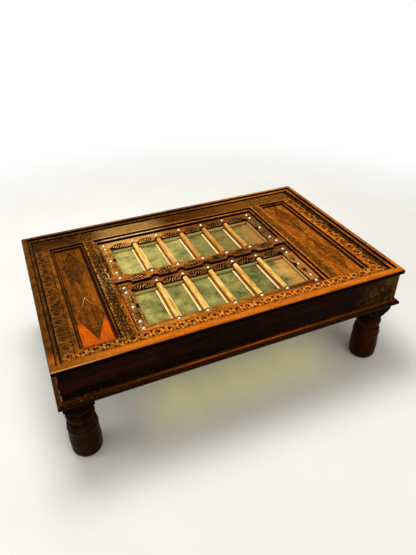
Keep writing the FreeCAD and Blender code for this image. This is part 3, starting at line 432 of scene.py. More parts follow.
class PanelWood(Wood):
    kind = "panel"
    dark, middle, light = srgb(62, 27, 1), srgb(138, 70, 4), srgb(188, 100, 8)
    worn, dirt, stain = srgb(226, 146, 44), srgb(12, 4, 1), srgb(16, 7, 2)
    stained, aging, gloss = 0.85, 0.50, 0.40

    def lozenge_reach(self):
        """0 at the middle of the left panel's nearer lozenge, 1 on its edges."""
        length, width = LOZENGE
        across = abs(self.x + PANEL_X) / (width / 2 * MM)
        return across + abs(self.y - NEAR_LOZENGE_Y) / (length / 2 * MM)

    def under(self):
        """On the left a bright front, the two corners before the lozenge, and painted shade at the back."""
        self.mottle_right(0.5)
        corners = self.y.fall(*TRIANGLES_Y) * self.x.fall(*LEFT_PART_X) * (self.lozenge_reach() > 1.02)
        self.tint(corners * 0.88, BURNT_ORANGE)
        self.tint(self.x.fall(*LEFT_PART_X) * self.y.rise(*OLD_PANEL_Y) * 0.42, AGED)
        self.age()

    def over(self):
        """A pale line on the back edges of the left panel's nearer lozenge."""
        if self.carved:
            near = self.y.rise(*REAR_EDGES_Y) * (self.y < REAR_TIP_Y) * (self.x < 0.0)
            self.tint(near * self.lozenge_reach().rise(0.88, 0.91) * 0.75, TAN)

    def details(self):
        # Painted shade along the right and back margins of each panel
        to_the_right = self.x - self.math("SIGN", self.x) * PANEL_X
        margin = to_the_right.rise(*PANEL_MARGIN_RIGHT).either(self.y.rise(*PANEL_MARGIN_Y))
        self.tint(margin * 0.93, self.dirt)


class PanelBeadWood(Wood):
    kind = "panel_bead"
    dark, middle, light = srgb(64, 28, 3), srgb(118, 58, 7), srgb(160, 84, 14)
    worn, dirt, stain = srgb(206, 132, 46), srgb(5, 2, 0), srgb(8, 3, 1)
    stained, aging, gloss = 1.0, 1.0, 0.36
    crest = (402.1 * MM, 403.8 * MM)


class BeadWood(Wood):
    kind = "bead"
    dark, middle, light = srgb(96, 44, 6), srgb(186, 100, 20), srgb(226, 150, 52)
    worn, dirt, stain = srgb(250, 206, 130), srgb(10, 4, 1), srgb(10, 4, 1)
    stained, aging, gloss = 0.95, 0.45, 0.36
    crest = (399.8 * MM, 401.7 * MM)

    def under(self):
        self.age()
        self.rub(0.60, CREAM)

    def over(self):
        """Sooty at both ends of the window, where the front glows through."""
        fleck = self.noise(160.0, rough=0.8)
        old_side = self.x.fall(*BEAD_LEFT_X).either(self.x.rise(*BEAD_RIGHT_X, 0.9))
        self.tint(fleck.fall(0.46, 0.58, 0.95) * old_side, SOOT)
        self.tint(fleck.fall(0.40, 0.50, 0.50), self.dirt)
        glow = self.y.fall(*BEAD_FRONT_Y) * fleck.rise(0.36, 0.50)
        self.tint(glow * old_side * 0.75, ORANGE_GLOW)


# The shutters

RAW, END_GLOW = srgb(255, 226, 168), srgb(214, 134, 48)
PANE_SHADE, PANE_SHADE_RIGHT = srgb(214, 204, 118), srgb(206, 154, 76)
GOLD, BAR_FLANK = srgb(228, 152, 34), srgb(150, 82, 8)
DULL_RIGHT_X, BRIGHT_WALL_X, RIGHT_PANE_X = (-0.16, 0.12), (-0.08, 0.10), (0.20, 0.26)
END_GLOW_Y, END_DARK_Y = (-0.06, 0.02), (-0.04, 0.04)
BACK_BARS_Y, BACK_BARS_X = (-0.06, 0.02), (-0.20, 0.0)
# The openings that the panes fill: half their length, then the middle and half the depth of each
PANES_REACH_X, BACK_PANES_Y, FRONT_PANES_Y = 0.315, (0.1130, 0.142), (-0.1720, 0.115)
# Levels on the shutters' upright faces: where the panes' colours end, where the raw edge ends, and where a
# painted shadow under the top plate starts and ends
SHADE_Z, RAW_Z, DIRT_Z, TOP_Z = (0.3838, 0.3846), (0.3870, 0.3880), (0.3880, 0.3886), (0.3894, 0.3900)


class ShutterWood(Wood):
    kind = "shutter"
    dark, middle, light = srgb(70, 32, 4), srgb(146, 80, 16), srgb(196, 122, 38)
    worn, dirt, stain = srgb(240, 190, 116), srgb(4, 2, 1), srgb(12, 5, 2)
    stained, aging, ground = 0.95, 0.22, (0.46, 0.88)

    def under(self):
        self.age()
        self.rub(0.50, TAN)
        self.tint(self.x.rise(*DULL_RIGHT_X, 0.45), self.dark)

    def over(self):
        """Flecked end rails. The right ones glow in front and are dark at the back."""
        if self.axis == "y" and not self.carved:
            fleck = self.noise(150.0, rough=0.8)
            self.tint(fleck.fall(0.40, 0.52, 0.72), self.dirt)
            self.tint(fleck.rise(0.54, 0.62, 0.55), TAN)
            right = self.x > 0.0
            self.tint(right * self.y.fall(*END_GLOW_Y, 0.35), END_GLOW)
            self.tint(right * self.y.rise(*END_DARK_Y, 0.35), self.dark)

    def ridge(self, share):
        return share * self.x.fit(*DULL_RIGHT_X, 1.0, 0.35) if self.axis == "x" else share

    def pane_walls(self):
        """1 on the upright faces round the panes, 0 along the outer edges of the two shutters."""
        rows = [abs(self.y - middle) < reach for middle, reach in (BACK_PANES_Y, FRONT_PANES_Y)]
        return (abs(self.up) < 0.5) * (abs(self.x) < PANES_REACH_X) * (rows[0] + rows[1])

    def details(self):
        """Round the panes: low on the wood their pale colours as painted light, above it a raw edge, pale as
        raw wood and as a painted highlight. A painted shadow just below the top plate.
        """
        walls = self.pane_walls()
        raw = self.z.rise(*SHADE_Z) * self.z.fall(*RAW_Z) * self.x.fit(*BRIGHT_WALL_X, 0.60, 0.92)
        self.tint(raw * walls, RAW)
        shade = self.mix(self.x.rise(*RIGHT_PANE_X), PANE_SHADE, PANE_SHADE_RIGHT)
        self.tint(self.z.fall(*SHADE_Z) * walls * 0.9, shade)
        self.tint(self.z.rise(*DIRT_Z) * self.z.fall(*TOP_Z) * 0.95, self.dirt)


class BarWood(Wood):
    kind = "bar"
    dark, middle, light = srgb(150, 94, 22), srgb(198, 146, 56), srgb(226, 178, 82)
    worn, dirt = srgb(252, 216, 140), srgb(80, 40, 6)
    spotted, gloss = 0.50, 0.38

    def details(self):
        """Pale streaks, gold spots and browner flanks of painted shade. The back row is browner to the
        right.
        """
        self.tint(self.fibres(self.axis, *BAR_GRAIN).rise(0.42, 0.62, 0.60), self.worn)
        self.tint(self.mottle.rise(0.50, 0.62, 0.55), GOLD)
        self.tint(self.y.rise(*BACK_BARS_Y, 0.55) * self.x.rise(*BACK_BARS_X), BAR_FLANK)
        # Painted shade on the flanks
        self.tint(self.up.fall(0.14, 0.68, 0.92), BAR_FLANK)


class LathWood(Wood):
    kind = "lath"
    dark, middle, light = srgb(220, 166, 84), srgb(252, 218, 146), srgb(255, 238, 190)
    worn, dirt, stain = srgb(255, 244, 218), srgb(60, 26, 6), srgb(160, 90, 30)
    stained, gloss = 0.5, 0.6


# The box, the legs and the hidden timber

OLIVE, ORANGE_LINE, RED_BROWN = srgb(104, 76, 16), srgb(190, 92, 12), srgb(92, 38, 6)
OLIVE_X, CORNER_X, CORNER_Y = (0.38, 0.57), (0.5870, 0.5885), (-0.3745, -0.3730)
MOULDING_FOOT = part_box("base_moulding_front")[0][2]
# Levels over the moulding's foot where its upper edge and its nose start and end
EDGE_FROM, EDGE_TO = (0.0188, 0.0198), (0.0222, 0.0230)
NOSE_FROM, NOSE_TO = (0.0050, 0.0065), (0.0085, 0.0100)
LINE_LEFT_X, LINE_RIGHT_X = (-0.50, -0.10), (0.05, 0.42)
REDDER_X, CAPITAL_Z = (0.0, 0.40), (0.165, 0.200)


class ApronWood(Wood):
    kind = "apron"
    dark, middle, light = srgb(7, 2, 1), srgb(20, 7, 3), srgb(50, 14, 5)
    worn, dirt = srgb(170, 124, 60), srgb(4, 2, 1)
    gloss, shine = 0.50, 0.02

    def details(self):
        """A painted olive reflection, mottled, on the right end, and painted highlights on the front
        corners.
        """
        rubbed = self.blotch * 0.5 + self.mottle * 0.5
        self.tint(self.x.rise(*OLIVE_X) * rubbed.rise(0.42, 0.62) * 0.62, OLIVE)
        corner = abs(self.x).rise(*CORNER_X) * self.y.fall(*CORNER_Y) * self.noise(30.0).rise(0.40, 0.56)
        self.tint(corner * 0.85, self.worn)


class MouldingWood(Wood):
    kind = "moulding"
    dark, middle, light = srgb(14, 4, 1), srgb(34, 11, 2), srgb(62, 24, 4)
    worn, dirt, stain = srgb(196, 116, 40), srgb(5, 2, 1), srgb(9, 4, 2)
    stained, aging, gloss, shine = 1.0, 0.30, 0.40, 0.05

    def details(self):
        """A painted highlight: an orange line on the upper edge, faint on the nose and towards both ends."""
        level = self.z - MOULDING_FOOT
        upper = level.rise(*EDGE_FROM) * level.fall(*EDGE_TO)
        nose = level.rise(*NOSE_FROM) * level.fall(*NOSE_TO)
        line = (upper + nose * 0.15) * self.patches.fit(0.34, 0.56, 0.60, 1.0)
        line = line * self.x.fit(*LINE_LEFT_X, 0.10, 0.85) * self.x.fit(*LINE_RIGHT_X, 1.0, 0.30)
        self.tint(line, ORANGE_LINE)


class LegWood(Wood):
    kind = "leg"
    dark, middle, light = srgb(12, 5, 1), srgb(38, 15, 3), srgb(76, 33, 5)
    worn, dirt, stain = srgb(190, 144, 62), srgb(3, 2, 1), srgb(20, 8, 2)
    # Wide pale arrises, worn and painted as highlights on the turnings
    stained, paleness, arris = 0.45, 0.50, 3.2 * MM
    gloss, shine = 0.32, 0.03

    def under(self):
        """Redder to the right. The capital is painted dark as shade under the moulding, and dull."""
        self.tint(self.x.rise(*REDDER_X, 0.25), RED_BROWN)
        self.tint(self.z.rise(*CAPITAL_Z, 0.85), self.dirt)
        self.shine = self.z.fit(*CAPITAL_Z, self.shine, 0.004)


class BareWood(Wood):
    """Never waxed: blocks and battens."""

    kind, gloss = "bare", 0.7
    dark, middle, light = srgb(92, 62, 38), srgb(134, 98, 62), srgb(164, 126, 84)
    worn, dirt = srgb(176, 140, 98), srgb(30, 18, 10)


class BattenWood(BareWood):
    gloss = 0.6


# Glass and metal

# The dusty film on the glass from dark to pale, its brown parts, dirt, the last panes painted as lit, dust
# and shade
FILM = (srgb(84, 85, 42), srgb(134, 128, 70), srgb(188, 174, 100))
FILM_BROWN, FILM_DIRT = srgb(122, 98, 44), srgb(150, 112, 60)
FRONT_LAST_PANE, BACK_LAST_PANE = srgb(206, 150, 80), srgb(166, 114, 54)
FILM_DUST, FILM_SHADE = srgb(206, 196, 140), srgb(84, 84, 36)
PANE_ROWS_Y, FILM_TREND_X, FILM_BROWN_X, LAST_PANE_X = -0.04, (-0.20, 0.16), (-0.02, 0.10), (0.222, 0.268)


def pane_glass():
    """Old glass, green and cloudy with dust, a little different in each pane. Lamps shine through it."""
    t = Tree(bpy.data.materials.new("old_glass"))
    back = t.y > PANE_ROWS_Y
    seed = t.math("FLOOR", t.x / (BAR_PITCH * MM)) + back * 7.3
    tone = t.feed(t.node("ShaderNodeTexWhiteNoise", noise_dimensions="1D"), W=seed, output="Value")
    cloud, fine = t.noise(16.0, detail=5.0, rough=0.62), t.noise(90.0, rough=0.6)
    trend = t.x.fit(*FILM_TREND_X, back.fit(0.0, 1.0, 0.035, 0.08), back.fit(0.0, 1.0, -0.05, -0.10))
    film_tone = cloud * 0.75 + ((tone - 0.5) * 0.08 + trend)
    film = t.ramp(film_tone, *zip((0.22, 0.37, 0.55), FILM))
    film = t.mix(back * t.x.rise(*FILM_BROWN_X, 0.45), film, FILM_BROWN)
    # Painted light: the last panes go tan, as lit floor shows through them
    last = (t.x + (cloud - 0.5) * 0.09).rise(*LAST_PANE_X, 0.82)
    film = t.mix(last, film, t.mix(back, FRONT_LAST_PANE, BACK_LAST_PANE))
    film = t.mix(t.noise(27.0, detail=5.0, rough=0.7).rise(0.55, 0.70, 0.50), film, FILM_DIRT)
    film = t.mix(fine.rise(0.56, 0.72, 0.30), film, FILM_DUST)
    film = t.mix(fine.fall(0.30, 0.44, 0.28), film, FILM_SHADE)
    dust = t.feed(t.node("ShaderNodeBsdfDiffuse"), Color=film)
    clear = t.feed(t.node("ShaderNodeBsdfGlass"), Color=srgb(206, 206, 172), Roughness=0.04, IOR=1.46)
    through = t.feed(t.node("ShaderNodeBsdfTransparent"), Color=srgb(216, 206, 112))
    dusty = t.blend(cloud.fit(0.30, 0.70, 0.60, 0.84), clear, dust)
    return t.surface(t.blend(t.path("Is Shadow Ray"), dusty, through))


def stud_metal():
    """Tinned domes, polished by use, dark where they meet the wood with tarnish and painted shade."""
    t = Tree(bpy.data.materials.new("stud_metal"))
    colour = t.mix(t.noise(320.0).rise(0.45, 0.7, 0.55), srgb(204, 186, 158), srgb(128, 106, 78))
    colour = t.mix(t.hollows(6 * MM).fall(0.35, 0.92, 0.95), colour, srgb(30, 18, 8))
    dents = t.bump(t.noise(240.0, detail=2.0), 0.4 * MM, 0.3)
    return t.principled(Base_Color=colour, Roughness=t.noise(180.0).fit(0.3, 0.7, 0.14, 0.30), Metallic=0.85,
                        Normal=dents)


def pin_iron():
    """Dull iron with rust."""
    t = Tree(bpy.data.materials.new("pin_iron"))
    rust = t.noise(220.0, detail=5.0).rise(0.45, 0.65)
    pits = t.bump(t.noise(400.0), 0.3 * MM, 0.4)
    return t.principled(Base_Color=t.mix(rust, srgb(58, 54, 50), srgb(96, 54, 30)), Metallic=0.6,
                        Roughness=rust.fit(0.0, 1.0, 0.45, 0.8), Normal=pits)


# The wood of a node, by the first of these words in its name. Its grain runs along the axis given here,
# or else along the side of the table or shutter that it lies on.
WOODS = (("leg", LegWood, "z"), ("corner_block", BareWood, "z"), ("battens", BattenWood, "y"),
         ("laths", LathWood, "y"), ("bars", BarWood, "y"), ("apron", ApronWood, None),
         ("base_moulding", MouldingWood, None), ("rim", RimWood, None), ("window_bead", BeadWood, None),
         ("panel_beads", PanelBeadWood, "y"), ("panel", PanelWood, "y"), ("shutter", ShutterWood, None),
         ("cover_strip", ShutterWood, None), ("frame_rail", FrameWood, None), ("stile", FrameWood, None))


def dress_nodes():
    """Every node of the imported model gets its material."""
    others = {"glass": pane_glass(), "studs": stud_metal(), "pins": pin_iron()}
    woods = {}

    def wood_of(name):
        kind, axis = next((kind, axis) for word, kind, axis in WOODS if word in name)
        key = (kind, axis or ("y" if name.endswith(("_left", "_right")) else "x"))
        if key not in woods:
            woods[key] = kind(key[1]).owner
        return woods[key]

    for name, thing in nodes.items():
        material = others.get(name.split("_")[-1]) or wood_of(name)
        for holder in thing.material_slots:
            holder.material = material


# Carving: tiles of relief, drawn with tapering strokes on a fine grid. Sizes are in millimetres.

LEAF_POINTS = 18


class Tile:
    """Relief heights from 0, the ground, to 1 on a grid of cells. It repeats along u when asked."""

    def __init__(self, length, width, repeats, cell=0.5):
        self.length, self.width, self.repeats = length, width, repeats
        self.columns, self.rows = int(round(length / cell)), int(round(width / cell))
        u = (np.arange(self.columns) + 0.5) * length / self.columns
        v = (np.arange(self.rows) + 0.5) * width / self.rows - width / 2
        self.u, self.v = np.meshgrid(u, v)
        self.height = np.zeros_like(self.u)

    def _nearness(self, points, radii):
        best = np.full(self.u.shape, 9.0)
        shifts = (-self.length, 0.0, self.length) if self.repeats else (0.0,)
        for (pu, pv), radius in zip(points, radii):
            for shift in shifts:
                if -radius < pu + shift < self.length + radius:
                    best = np.minimum(best, np.hypot(self.u - pu - shift, self.v - pv) / radius)
        return best

    def ridge(self, points, radii, top=1.0):
        near = self._nearness(points, radii)
        self.height = np.maximum(self.height, top * np.sqrt(np.clip(1.0 - near ** 2, 0.0, 1.0)))

    def groove(self, points, radii, depth=1.0):
        near = self._nearness(points, radii)
        self.height *= 1.0 - depth * np.clip(1.0 - near ** 2, 0.0, 1.0)

    def leaf(self, u, v, angle, length, width, top=0.95, bend=0.0):
        """A pointed leaf with a midrib, which starts at (u, v) and may curve."""
        steps = np.linspace(0.0, 1.0, LEAF_POINTS)
        turn, gaps = angle + bend * steps, LEAF_POINTS - 1
        du, dv = np.cos(turn) * length / gaps, np.sin(turn) * length / gaps
        pu, pv = u + np.cumsum(du) - du[0], v + np.cumsum(dv) - dv[0]
        radii = np.maximum(width / 2 * np.sin(np.pi * np.clip(steps * 0.94 + 0.04, 0, 1)) ** 0.8, 0.35)
        self.ridge(zip(pu, pv), radii, top)
        midrib = list(zip(pu[3:-3], pv[3:-3]))
        self.groove(midrib, [0.55] * len(midrib), 0.5)

    def line(self, v, width=0.9, top=0.85):
        band = np.sqrt(np.clip(1.0 - ((self.v - v) / width) ** 2, 0.0, 1.0)) * top
        self.height = np.maximum(self.height, band)

    def sample(self, u, v):
        column = u / self.length * self.columns - 0.5
        row = np.clip((v + self.width / 2) / self.width * self.rows - 0.5, 0, self.rows - 1.001)
        if not self.repeats:
            column = np.clip(column, 0, self.columns - 1.001)
        c0, r0 = np.floor(column).astype(int), np.floor(row).astype(int)
        fc, fr = column - c0, row - r0
        c0, c1 = c0 % self.columns, (c0 + 1) % self.columns
        r1 = np.minimum(r0 + 1, self.rows - 1)
        low, high = (self.height[r, c0] * (1 - fc) + self.height[r, c1] * fc for r in (r0, r1))
        return low * (1 - fr) + high * fr


ARC_PITCH, ARC_POINTS, ARC_CUT, DOT = 18.5, 12, 1.5, 1.8
SCROLL_POINTS, FAN_POINTS = 44, 10


def scroll_tile(period, width):
    """Cut scrolls: spirals in facing pairs, leaf cuts between them, and small arcs along the front edge."""
    tile = Tile(period, width, True)
    tile.height[:] = 0.90
    cut, middle, size = width * 0.118, width * 0.03, width * 0.31
    steps = np.linspace(0.0, 1.0, SCROLL_POINTS)
    for turn in (-1, 1):
        centre = turn * period * 0.245
        reach, angles = size * (1.0 - 0.74 * steps), -0.9 + 5.6 * steps
        points = zip(centre + turn * reach * np.cos(angles), middle + reach * np.sin(angles))
        tile.groove(points, cut * np.sin(np.linspace(0.45, 2.6, SCROLL_POINTS)))
        tile.groove([(centre, middle)], [cut * 0.9])
    for u in (0.0, period / 2):
        for side in (-1, 1):
            points = [(u, middle + side * size * (0.35 + 0.95 * s)) for s in np.linspace(0, 1, FAN_POINTS)]
            tile.groove(points, cut * np.linspace(0.35, 1.25, FAN_POINTS))
    arcs = max(3, round(period / ARC_PITCH))
    radius, angles = period / arcs * 0.34, np.linspace(0.4, np.pi - 0.4, ARC_POINTS)
    for step in range(arcs):
        u = (step + 0.5) * period / arcs
        arc = zip(u + radius * np.cos(angles), 0.8 - width / 2 + 0.70 * radius * np.sin(angles))
        tile.groove(arc, [ARC_CUT] * ARC_POINTS)
        tile.groove([(u, DOT - width / 2)], [DOT])
    return tile


def spray_tile(period, width):
    """Small close-set leaves and buds in rows that lean in turn, for the wide back band."""
    tile = Tile(period, width, True)
    rows, columns, carved = 6, 4, width - 6.0
    for row in range(rows):
        v = (row + 0.5) / rows * carved - carved / 2
        lean = 1 if row % 2 else -1
        for step in range(columns):
            u = (step + 0.5 * (row % 2)) * period / columns
            tile.leaf(u, v - lean * 3.0, lean * 1.0, 7.5, 3.6, 0.95, -lean * 0.6)
            tile.ridge([(u + period / columns / 2, v + lean * 1.6)], [1.3], 0.8)
    for side in (-1, 1):
        tile.line(side * (width / 2 - 1.2))
    return tile


def leaflet_tile(period, width):
    """Small leaves along a wavy stem between two edge lines, for the narrow stiles."""
    tile = Tile(period, width, True)
    tile.height[:] = 0.10
    rng = np.random.default_rng(5)
    for side in (-1, 1):
        tile.line(side * (width / 2 - 1.6), 1.3, 0.95)
    stem = [(u, 2.6 * math.sin(2 * math.pi * u / period)) for u in np.linspace(0.0, period, 40)]
    tile.ridge(stem, [0.8] * len(stem), 0.7)
    count = 8
    for step in range(count):
        u, side = (step + 0.5) * period / count, 1 if step % 2 else -1
        lean, size = 0.8 + 0.5 * rng.random(), 0.26 + 0.12 * rng.random()
        tile.leaf(u, 1.5 * side, side * lean, width * size, width * 0.15, 0.9, -side * 0.4)
        tile.ridge([(u + period / count / 2, side * width * 0.27)], [1.4], 0.8)
    return tile


def gadroon_tile(length, width, lobes=6):
    """Bold slanting lobes on a deep ground, longest in the middle, with buds behind, for the leaf fields."""
    tile = Tile(length, width, False)
    pitch = length * 0.88 / lobes
    for step in range(lobes):
        share = (step + 0.5) / lobes * 2 - 1
        reach = width * 0.56 * (1.0 - 0.62 * share ** 2)
        middle = length / 2 + share * length * 0.43
        bend = np.linspace(-1.0, 1.0, 20)
        u = middle + bend * reach * 0.40 + 0.16 * reach * bend ** 2 * np.sign(share + 0.01)
        v = -width * 0.05 + bend * reach * 0.72
        tile.ridge(zip(u, v), pitch * (0.36 - 0.10 * bend ** 2), 1.0)
        tile.ridge([(middle + pitch * 0.62, reach * 0.62)], [pitch * 0.24], 0.9)
    return tile


def rosette(tile, u, v, radius, petals=8):
    for step in range(petals):
        angle = 2 * np.pi * (step + 0.5) / petals
        tile.leaf(u + radius * 0.22 * np.cos(angle), v + radius * 0.22 * np.sin(angle), angle,
                  radius * 0.78, radius * 2.0 / petals * 1.35)
    tile.ridge([(u, v)], [radius * 0.24], 1.0)


CUT_PITCH, CUT_POINTS, CUT_RADIUS, LOZENGE_BORDER = 10.5, 8, 1.25, 5.0


def lozenge_tile(length, width):
    """A close pattern of small leaves round a rosette, cut into a nearly flat ground."""
    tile = Tile(length, width, False)
    tile.height[:] = 0.62
    middle = length / 2
    rosette(tile, middle, 0.0, width * 0.17)
    rows = 9
    for row in range(-rows, rows + 1):
        u = middle + row * length / (2 * rows + 2)
        half = width / 2 * (1.0 - abs(u - middle) / middle) - LOZENGE_BORDER
        for column in range(-3, 4):
            v = column * CUT_PITCH + (CUT_PITCH / 2 if row % 2 else 0.0)
            if abs(v) > half or math.hypot(u - middle, v) < width * 0.20:
                continue
            turn = (0.9 if column % 2 else -0.9) + (0.0 if row > 0 else np.pi)
            points = [(u + 3.4 * (s - 0.5) * np.cos(turn + s), v + 5.2 * (s - 0.5) * np.sin(turn + s) * 1.3)
                      for s in np.linspace(-0.2, 1.2, CUT_POINTS)]
            tile.groove(points, [CUT_RADIUS] * CUT_POINTS)
            tile.ridge([(u + 2.4, v - 2.2)], [1.6], 1.0)
    return tile


# Carved sheets: grids of points that carry the tiles' heights

CARVE_STEP, LEAF_STEP, LIFT = 1.45, 1.2, 0.05
WEAR_CELLS = 9


def relief_mesh(sheets):
    """One mesh from several carved sheets, each a grid of points and a grid of carve heights."""
    points, faces, carve = [], [], []
    for grid, heights in sheets:
        rows, columns = heights.shape
        points.append(grid.reshape(-1, 3))
        index = len(carve) + np.arange(rows * columns).reshape(rows, columns)
        carve.extend(heights.reshape(-1))
        quads = np.stack([index[:-1, :-1], index[:-1, 1:], index[1:, 1:], index[1:, :-1]], axis=-1)
        faces.append(quads.reshape(-1, 4))
    mesh = bpy.data.meshes.new("relief")
    mesh.from_pydata(np.concatenate(points).tolist(), [], np.concatenate(faces).tolist())
    mesh.attributes.new("carve", "FLOAT", "POINT").data.foreach_set("value", np.array(carve, np.float32))
    mesh.polygons.foreach_set("use_smooth", np.ones(len(mesh.polygons), bool))
    return mesh


def add_relief(name, body, sheets, material):
    piece = bpy.data.objects.new(name, relief_mesh(sheets))
    bpy.context.scene.collection.objects.link(piece)
    piece.data.materials.append(material)
    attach(piece, body)


def softened(heights, seed, amount=0.06):
    """Worn by hand: small uneven losses, the same on every run."""
    rng = np.random.default_rng(seed)
    rows, columns = heights.shape
    coarse = rng.random((rows // WEAR_CELLS + 3, columns // WEAR_CELLS + 3))
    r = np.linspace(0, coarse.shape[0] - 1.001, rows)
    c = np.linspace(0, coarse.shape[1] - 1.001, columns)
    r0, c0 = np.floor(r).astype(int), np.floor(c).astype(int)
    fr, fc = (r - r0)[:, None], (c - c0)[None, :]
    blend = (coarse[np.ix_(r0, c0)] * (1 - fr) * (1 - fc) + coarse[np.ix_(r0, c0 + 1)] * (1 - fr) * fc
             + coarse[np.ix_(r0 + 1, c0)] * fr * (1 - fc) + coarse[np.ix_(r0 + 1, c0 + 1)] * fr * fc)
    return np.clip(heights * (1.0 - 0.30 * blend) - amount * rng.random(heights.shape) * heights, 0.0, 1.0)


def raised(x, y, top, heights):
    """A sheet's points in metres, from just over the sunk floor up to the level of the wood's top."""
    floor = top - FIELD_DEPTH
    return np.stack([x, y, floor + LIFT + heights * (FIELD_DEPTH - LIFT)], axis=-1) * MM, heights


def band(x_ends, y_ends, top, tile, along, seed):
    """A carved sheet in a long sunk field. Copies of its tile follow each other along x or y."""
    (start, end), (side, other) = (x_ends, y_ends) if along == "x" else (y_ends, x_ends)
    length, width, middle = end - start, other - side, (side + other) / 2
    columns, rows = int(length / CARVE_STEP) + 1, int(width / CARVE_STEP) + 1
    u, v = np.meshgrid(np.linspace(0.0, length, columns), np.linspace(-width / 2, width / 2, rows))
    copies = max(1, round(length / tile.length))
    heights = softened(tile.sample(u * copies * tile.length / length, v * tile.width / width), seed)
    x, y = (start + u, middle + v) if along == "x" else (middle - v, start + u)
    return raised(x, y, top, heights)


def leaf_sheet(x, y, top, tile, along, seed, flip=1):
    """A carved sheet in a leaf-shaped field round (x, y): two arcs that meet in points."""
    length, width = tile.length, tile.width
    bend = (length ** 2 + width ** 2) / (4 * width)
    columns, rows = int(length / LEAF_STEP) + 1, int(width / LEAF_STEP) + 1
    s, t = np.meshgrid(np.linspace(-0.995, 0.995, columns), np.linspace(-1.0, 1.0, rows))
    half = np.sqrt(bend ** 2 - (s * length / 2) ** 2) - (bend - width / 2)
    u, v = s * length / 2, t * half * 0.985
    heights = softened(tile.sample(u + length / 2, flip * v), seed)
    return raised(*((x + u, y + v) if along == "x" else (x - v, y + u)), top, heights)


def lozenge_sheet(x, y, top, tile, seed):
    """A carved sheet in a lozenge-shaped field round (x, y). Its grid runs along the lozenge's edges."""
    length, width = tile.length, tile.width
    count = int(math.hypot(length, width) / 2 / CARVE_STEP) + 1
    ends = np.linspace(-0.99, 0.99, count)
    s, t = np.meshgrid(ends, ends)
    u, v = (s + t) / 2 * length / 2, (s - t) / 2 * width / 2
    rim = (1.0 - np.maximum(abs(s), abs(t))) / 0.095
    ridge = np.exp(-((rim - 0.62) / 0.24) ** 2)
    inside = tile.sample(u + length / 2, v) * (rim > 1.2)
    heights = softened(np.maximum(inside, ridge * (rim > 0.3)), seed)
    return raised(x - v, y + u, top, heights)


def carve_frame():
    """Bands in the sunk fields of the window frame's rails and stiles."""
    front = box_mm("frame_rail_front")[1][1] - LEDGE + RIM_MARGIN
    back = box_mm("frame_rail_back")[0][1] + LEDGE - RIM_MARGIN
    scrolls, leaflets = scroll_tile(90.0, 41.5), leaflet_tile(47.0, 28.0)
    rail, end, middle = LEDGE + RAIL_MARGIN, LEDGE + END_MARGIN, LEDGE + FIELD_MARGIN
    # Each piece's direction, tile and darkness of its ground's dirt and painted shade, and the wood left on
    # the two long sides of its field
    plans = (("frame_rail_front", "x", scroll_tile(75.0, 29.5), 1.0, RIM_MARGIN, rail),
             ("frame_rail_back", "x", spray_tile(38.0, 60.5), 0.72, rail, RIM_MARGIN),
             ("end_stile_left", "y", scrolls, 0.70, RIM_MARGIN, end),
             ("end_stile_right", "y", scrolls, 0.92, end, RIM_MARGIN),
             ("middle_stile_left", "y", leaflets, 0.80, middle, middle),
             ("middle_stile_right", "y", leaflets, 0.72, middle, middle))
    for seed, (node, along, tile, deep, before, behind) in enumerate(plans):
        low, high = box_mm(node)
        if along == "x":
            x_ends, y_ends = (low[0] + RIM_MARGIN, high[0] - RIM_MARGIN), (low[1] + before, high[1] - behind)
        else:
            x_ends, y_ends = (low[0] + before, high[0] - behind), (front, back)
        sheet = band(x_ends, y_ends, high[2], tile, along, seed)
        wood = FrameWood(along, carved=True, deep=deep).owner
        add_relief(node + "_carving", "table", [sheet], wood)


def carve_panels():
    """Two lozenges in each end panel."""
    tile = lozenge_tile(*LOZENGE)
    for seed, (node, deep) in enumerate((("panel_left", 0.92), ("panel_right", 0.84))):
        (x, y, _), top = middle_mm(node), box_mm(node)[1][2]
        sheets = [lozenge_sheet(x, y + side * LOZENGE_PITCH / 2, top, tile, 20 + seed * 2 + side)
                  for side in (-1, 1)]
        wood = PanelWood("y", carved=True, deep=deep).owner
        add_relief(node + "_carving", "table", sheets, wood)


def carve_long_pieces():
    """Gadroons in the leaf-shaped fields of the stiles and the cover strip."""
    tile, wood = gadroon_tile(*LEAF), ShutterWood("x", carved=True, deep=1.0).owner
    rows = (("back_shutter_hinge_stile", "back_shutter", HINGE_INSET, 1),
            ("front_shutter_meeting_stile", "front_shutter", MEETING_INSET, 1),
            ("cover_strip", "back_shutter", COVER_INSET, -1))
    for seed, (node, body, inset, flip) in enumerate(rows):
        low, high = box_mm(node)
        sheets = [leaf_sheet(x, low[1] + inset, high[2], tile, "x", 40 + seed * 9 + index, flip)
                  for index, x in enumerate(LEAF_SPOTS)]
        add_relief(node + "_carving", body, sheets, wood)


def carve_end_rails():
    """Gadroons between the studs of the end rails."""
    tile, wood = gadroon_tile(*END_LEAF, lobes=5), ShutterWood("y", carved=True, deep=1.0).owner
    for shutter, shares in (("back_shutter", BACK_STUD_SHARES), ("front_shutter", FRONT_STUD_SHARES)):
        stiles = [box_mm(f"{shutter}_{stile}_stile") for stile in ("hinge", "meeting")]
        front, back = min(low[1] for low, high in stiles), max(high[1] for low, high in stiles)
        studs = [back - share * (back - front) for share in shares]
        top = box_mm(f"{shutter}_end_rail_left")[1][2]
        sheets = [leaf_sheet(end * END_FIELD_X, (studs[index] + studs[index + 1]) / 2, top, tile, "y",
                             70 + index, end) for end in (-1, 1) for index in (0, 1)]
        add_relief(f"{shutter}_end_rail_carving", shutter, sheets, wood)


# Floor, light and camera

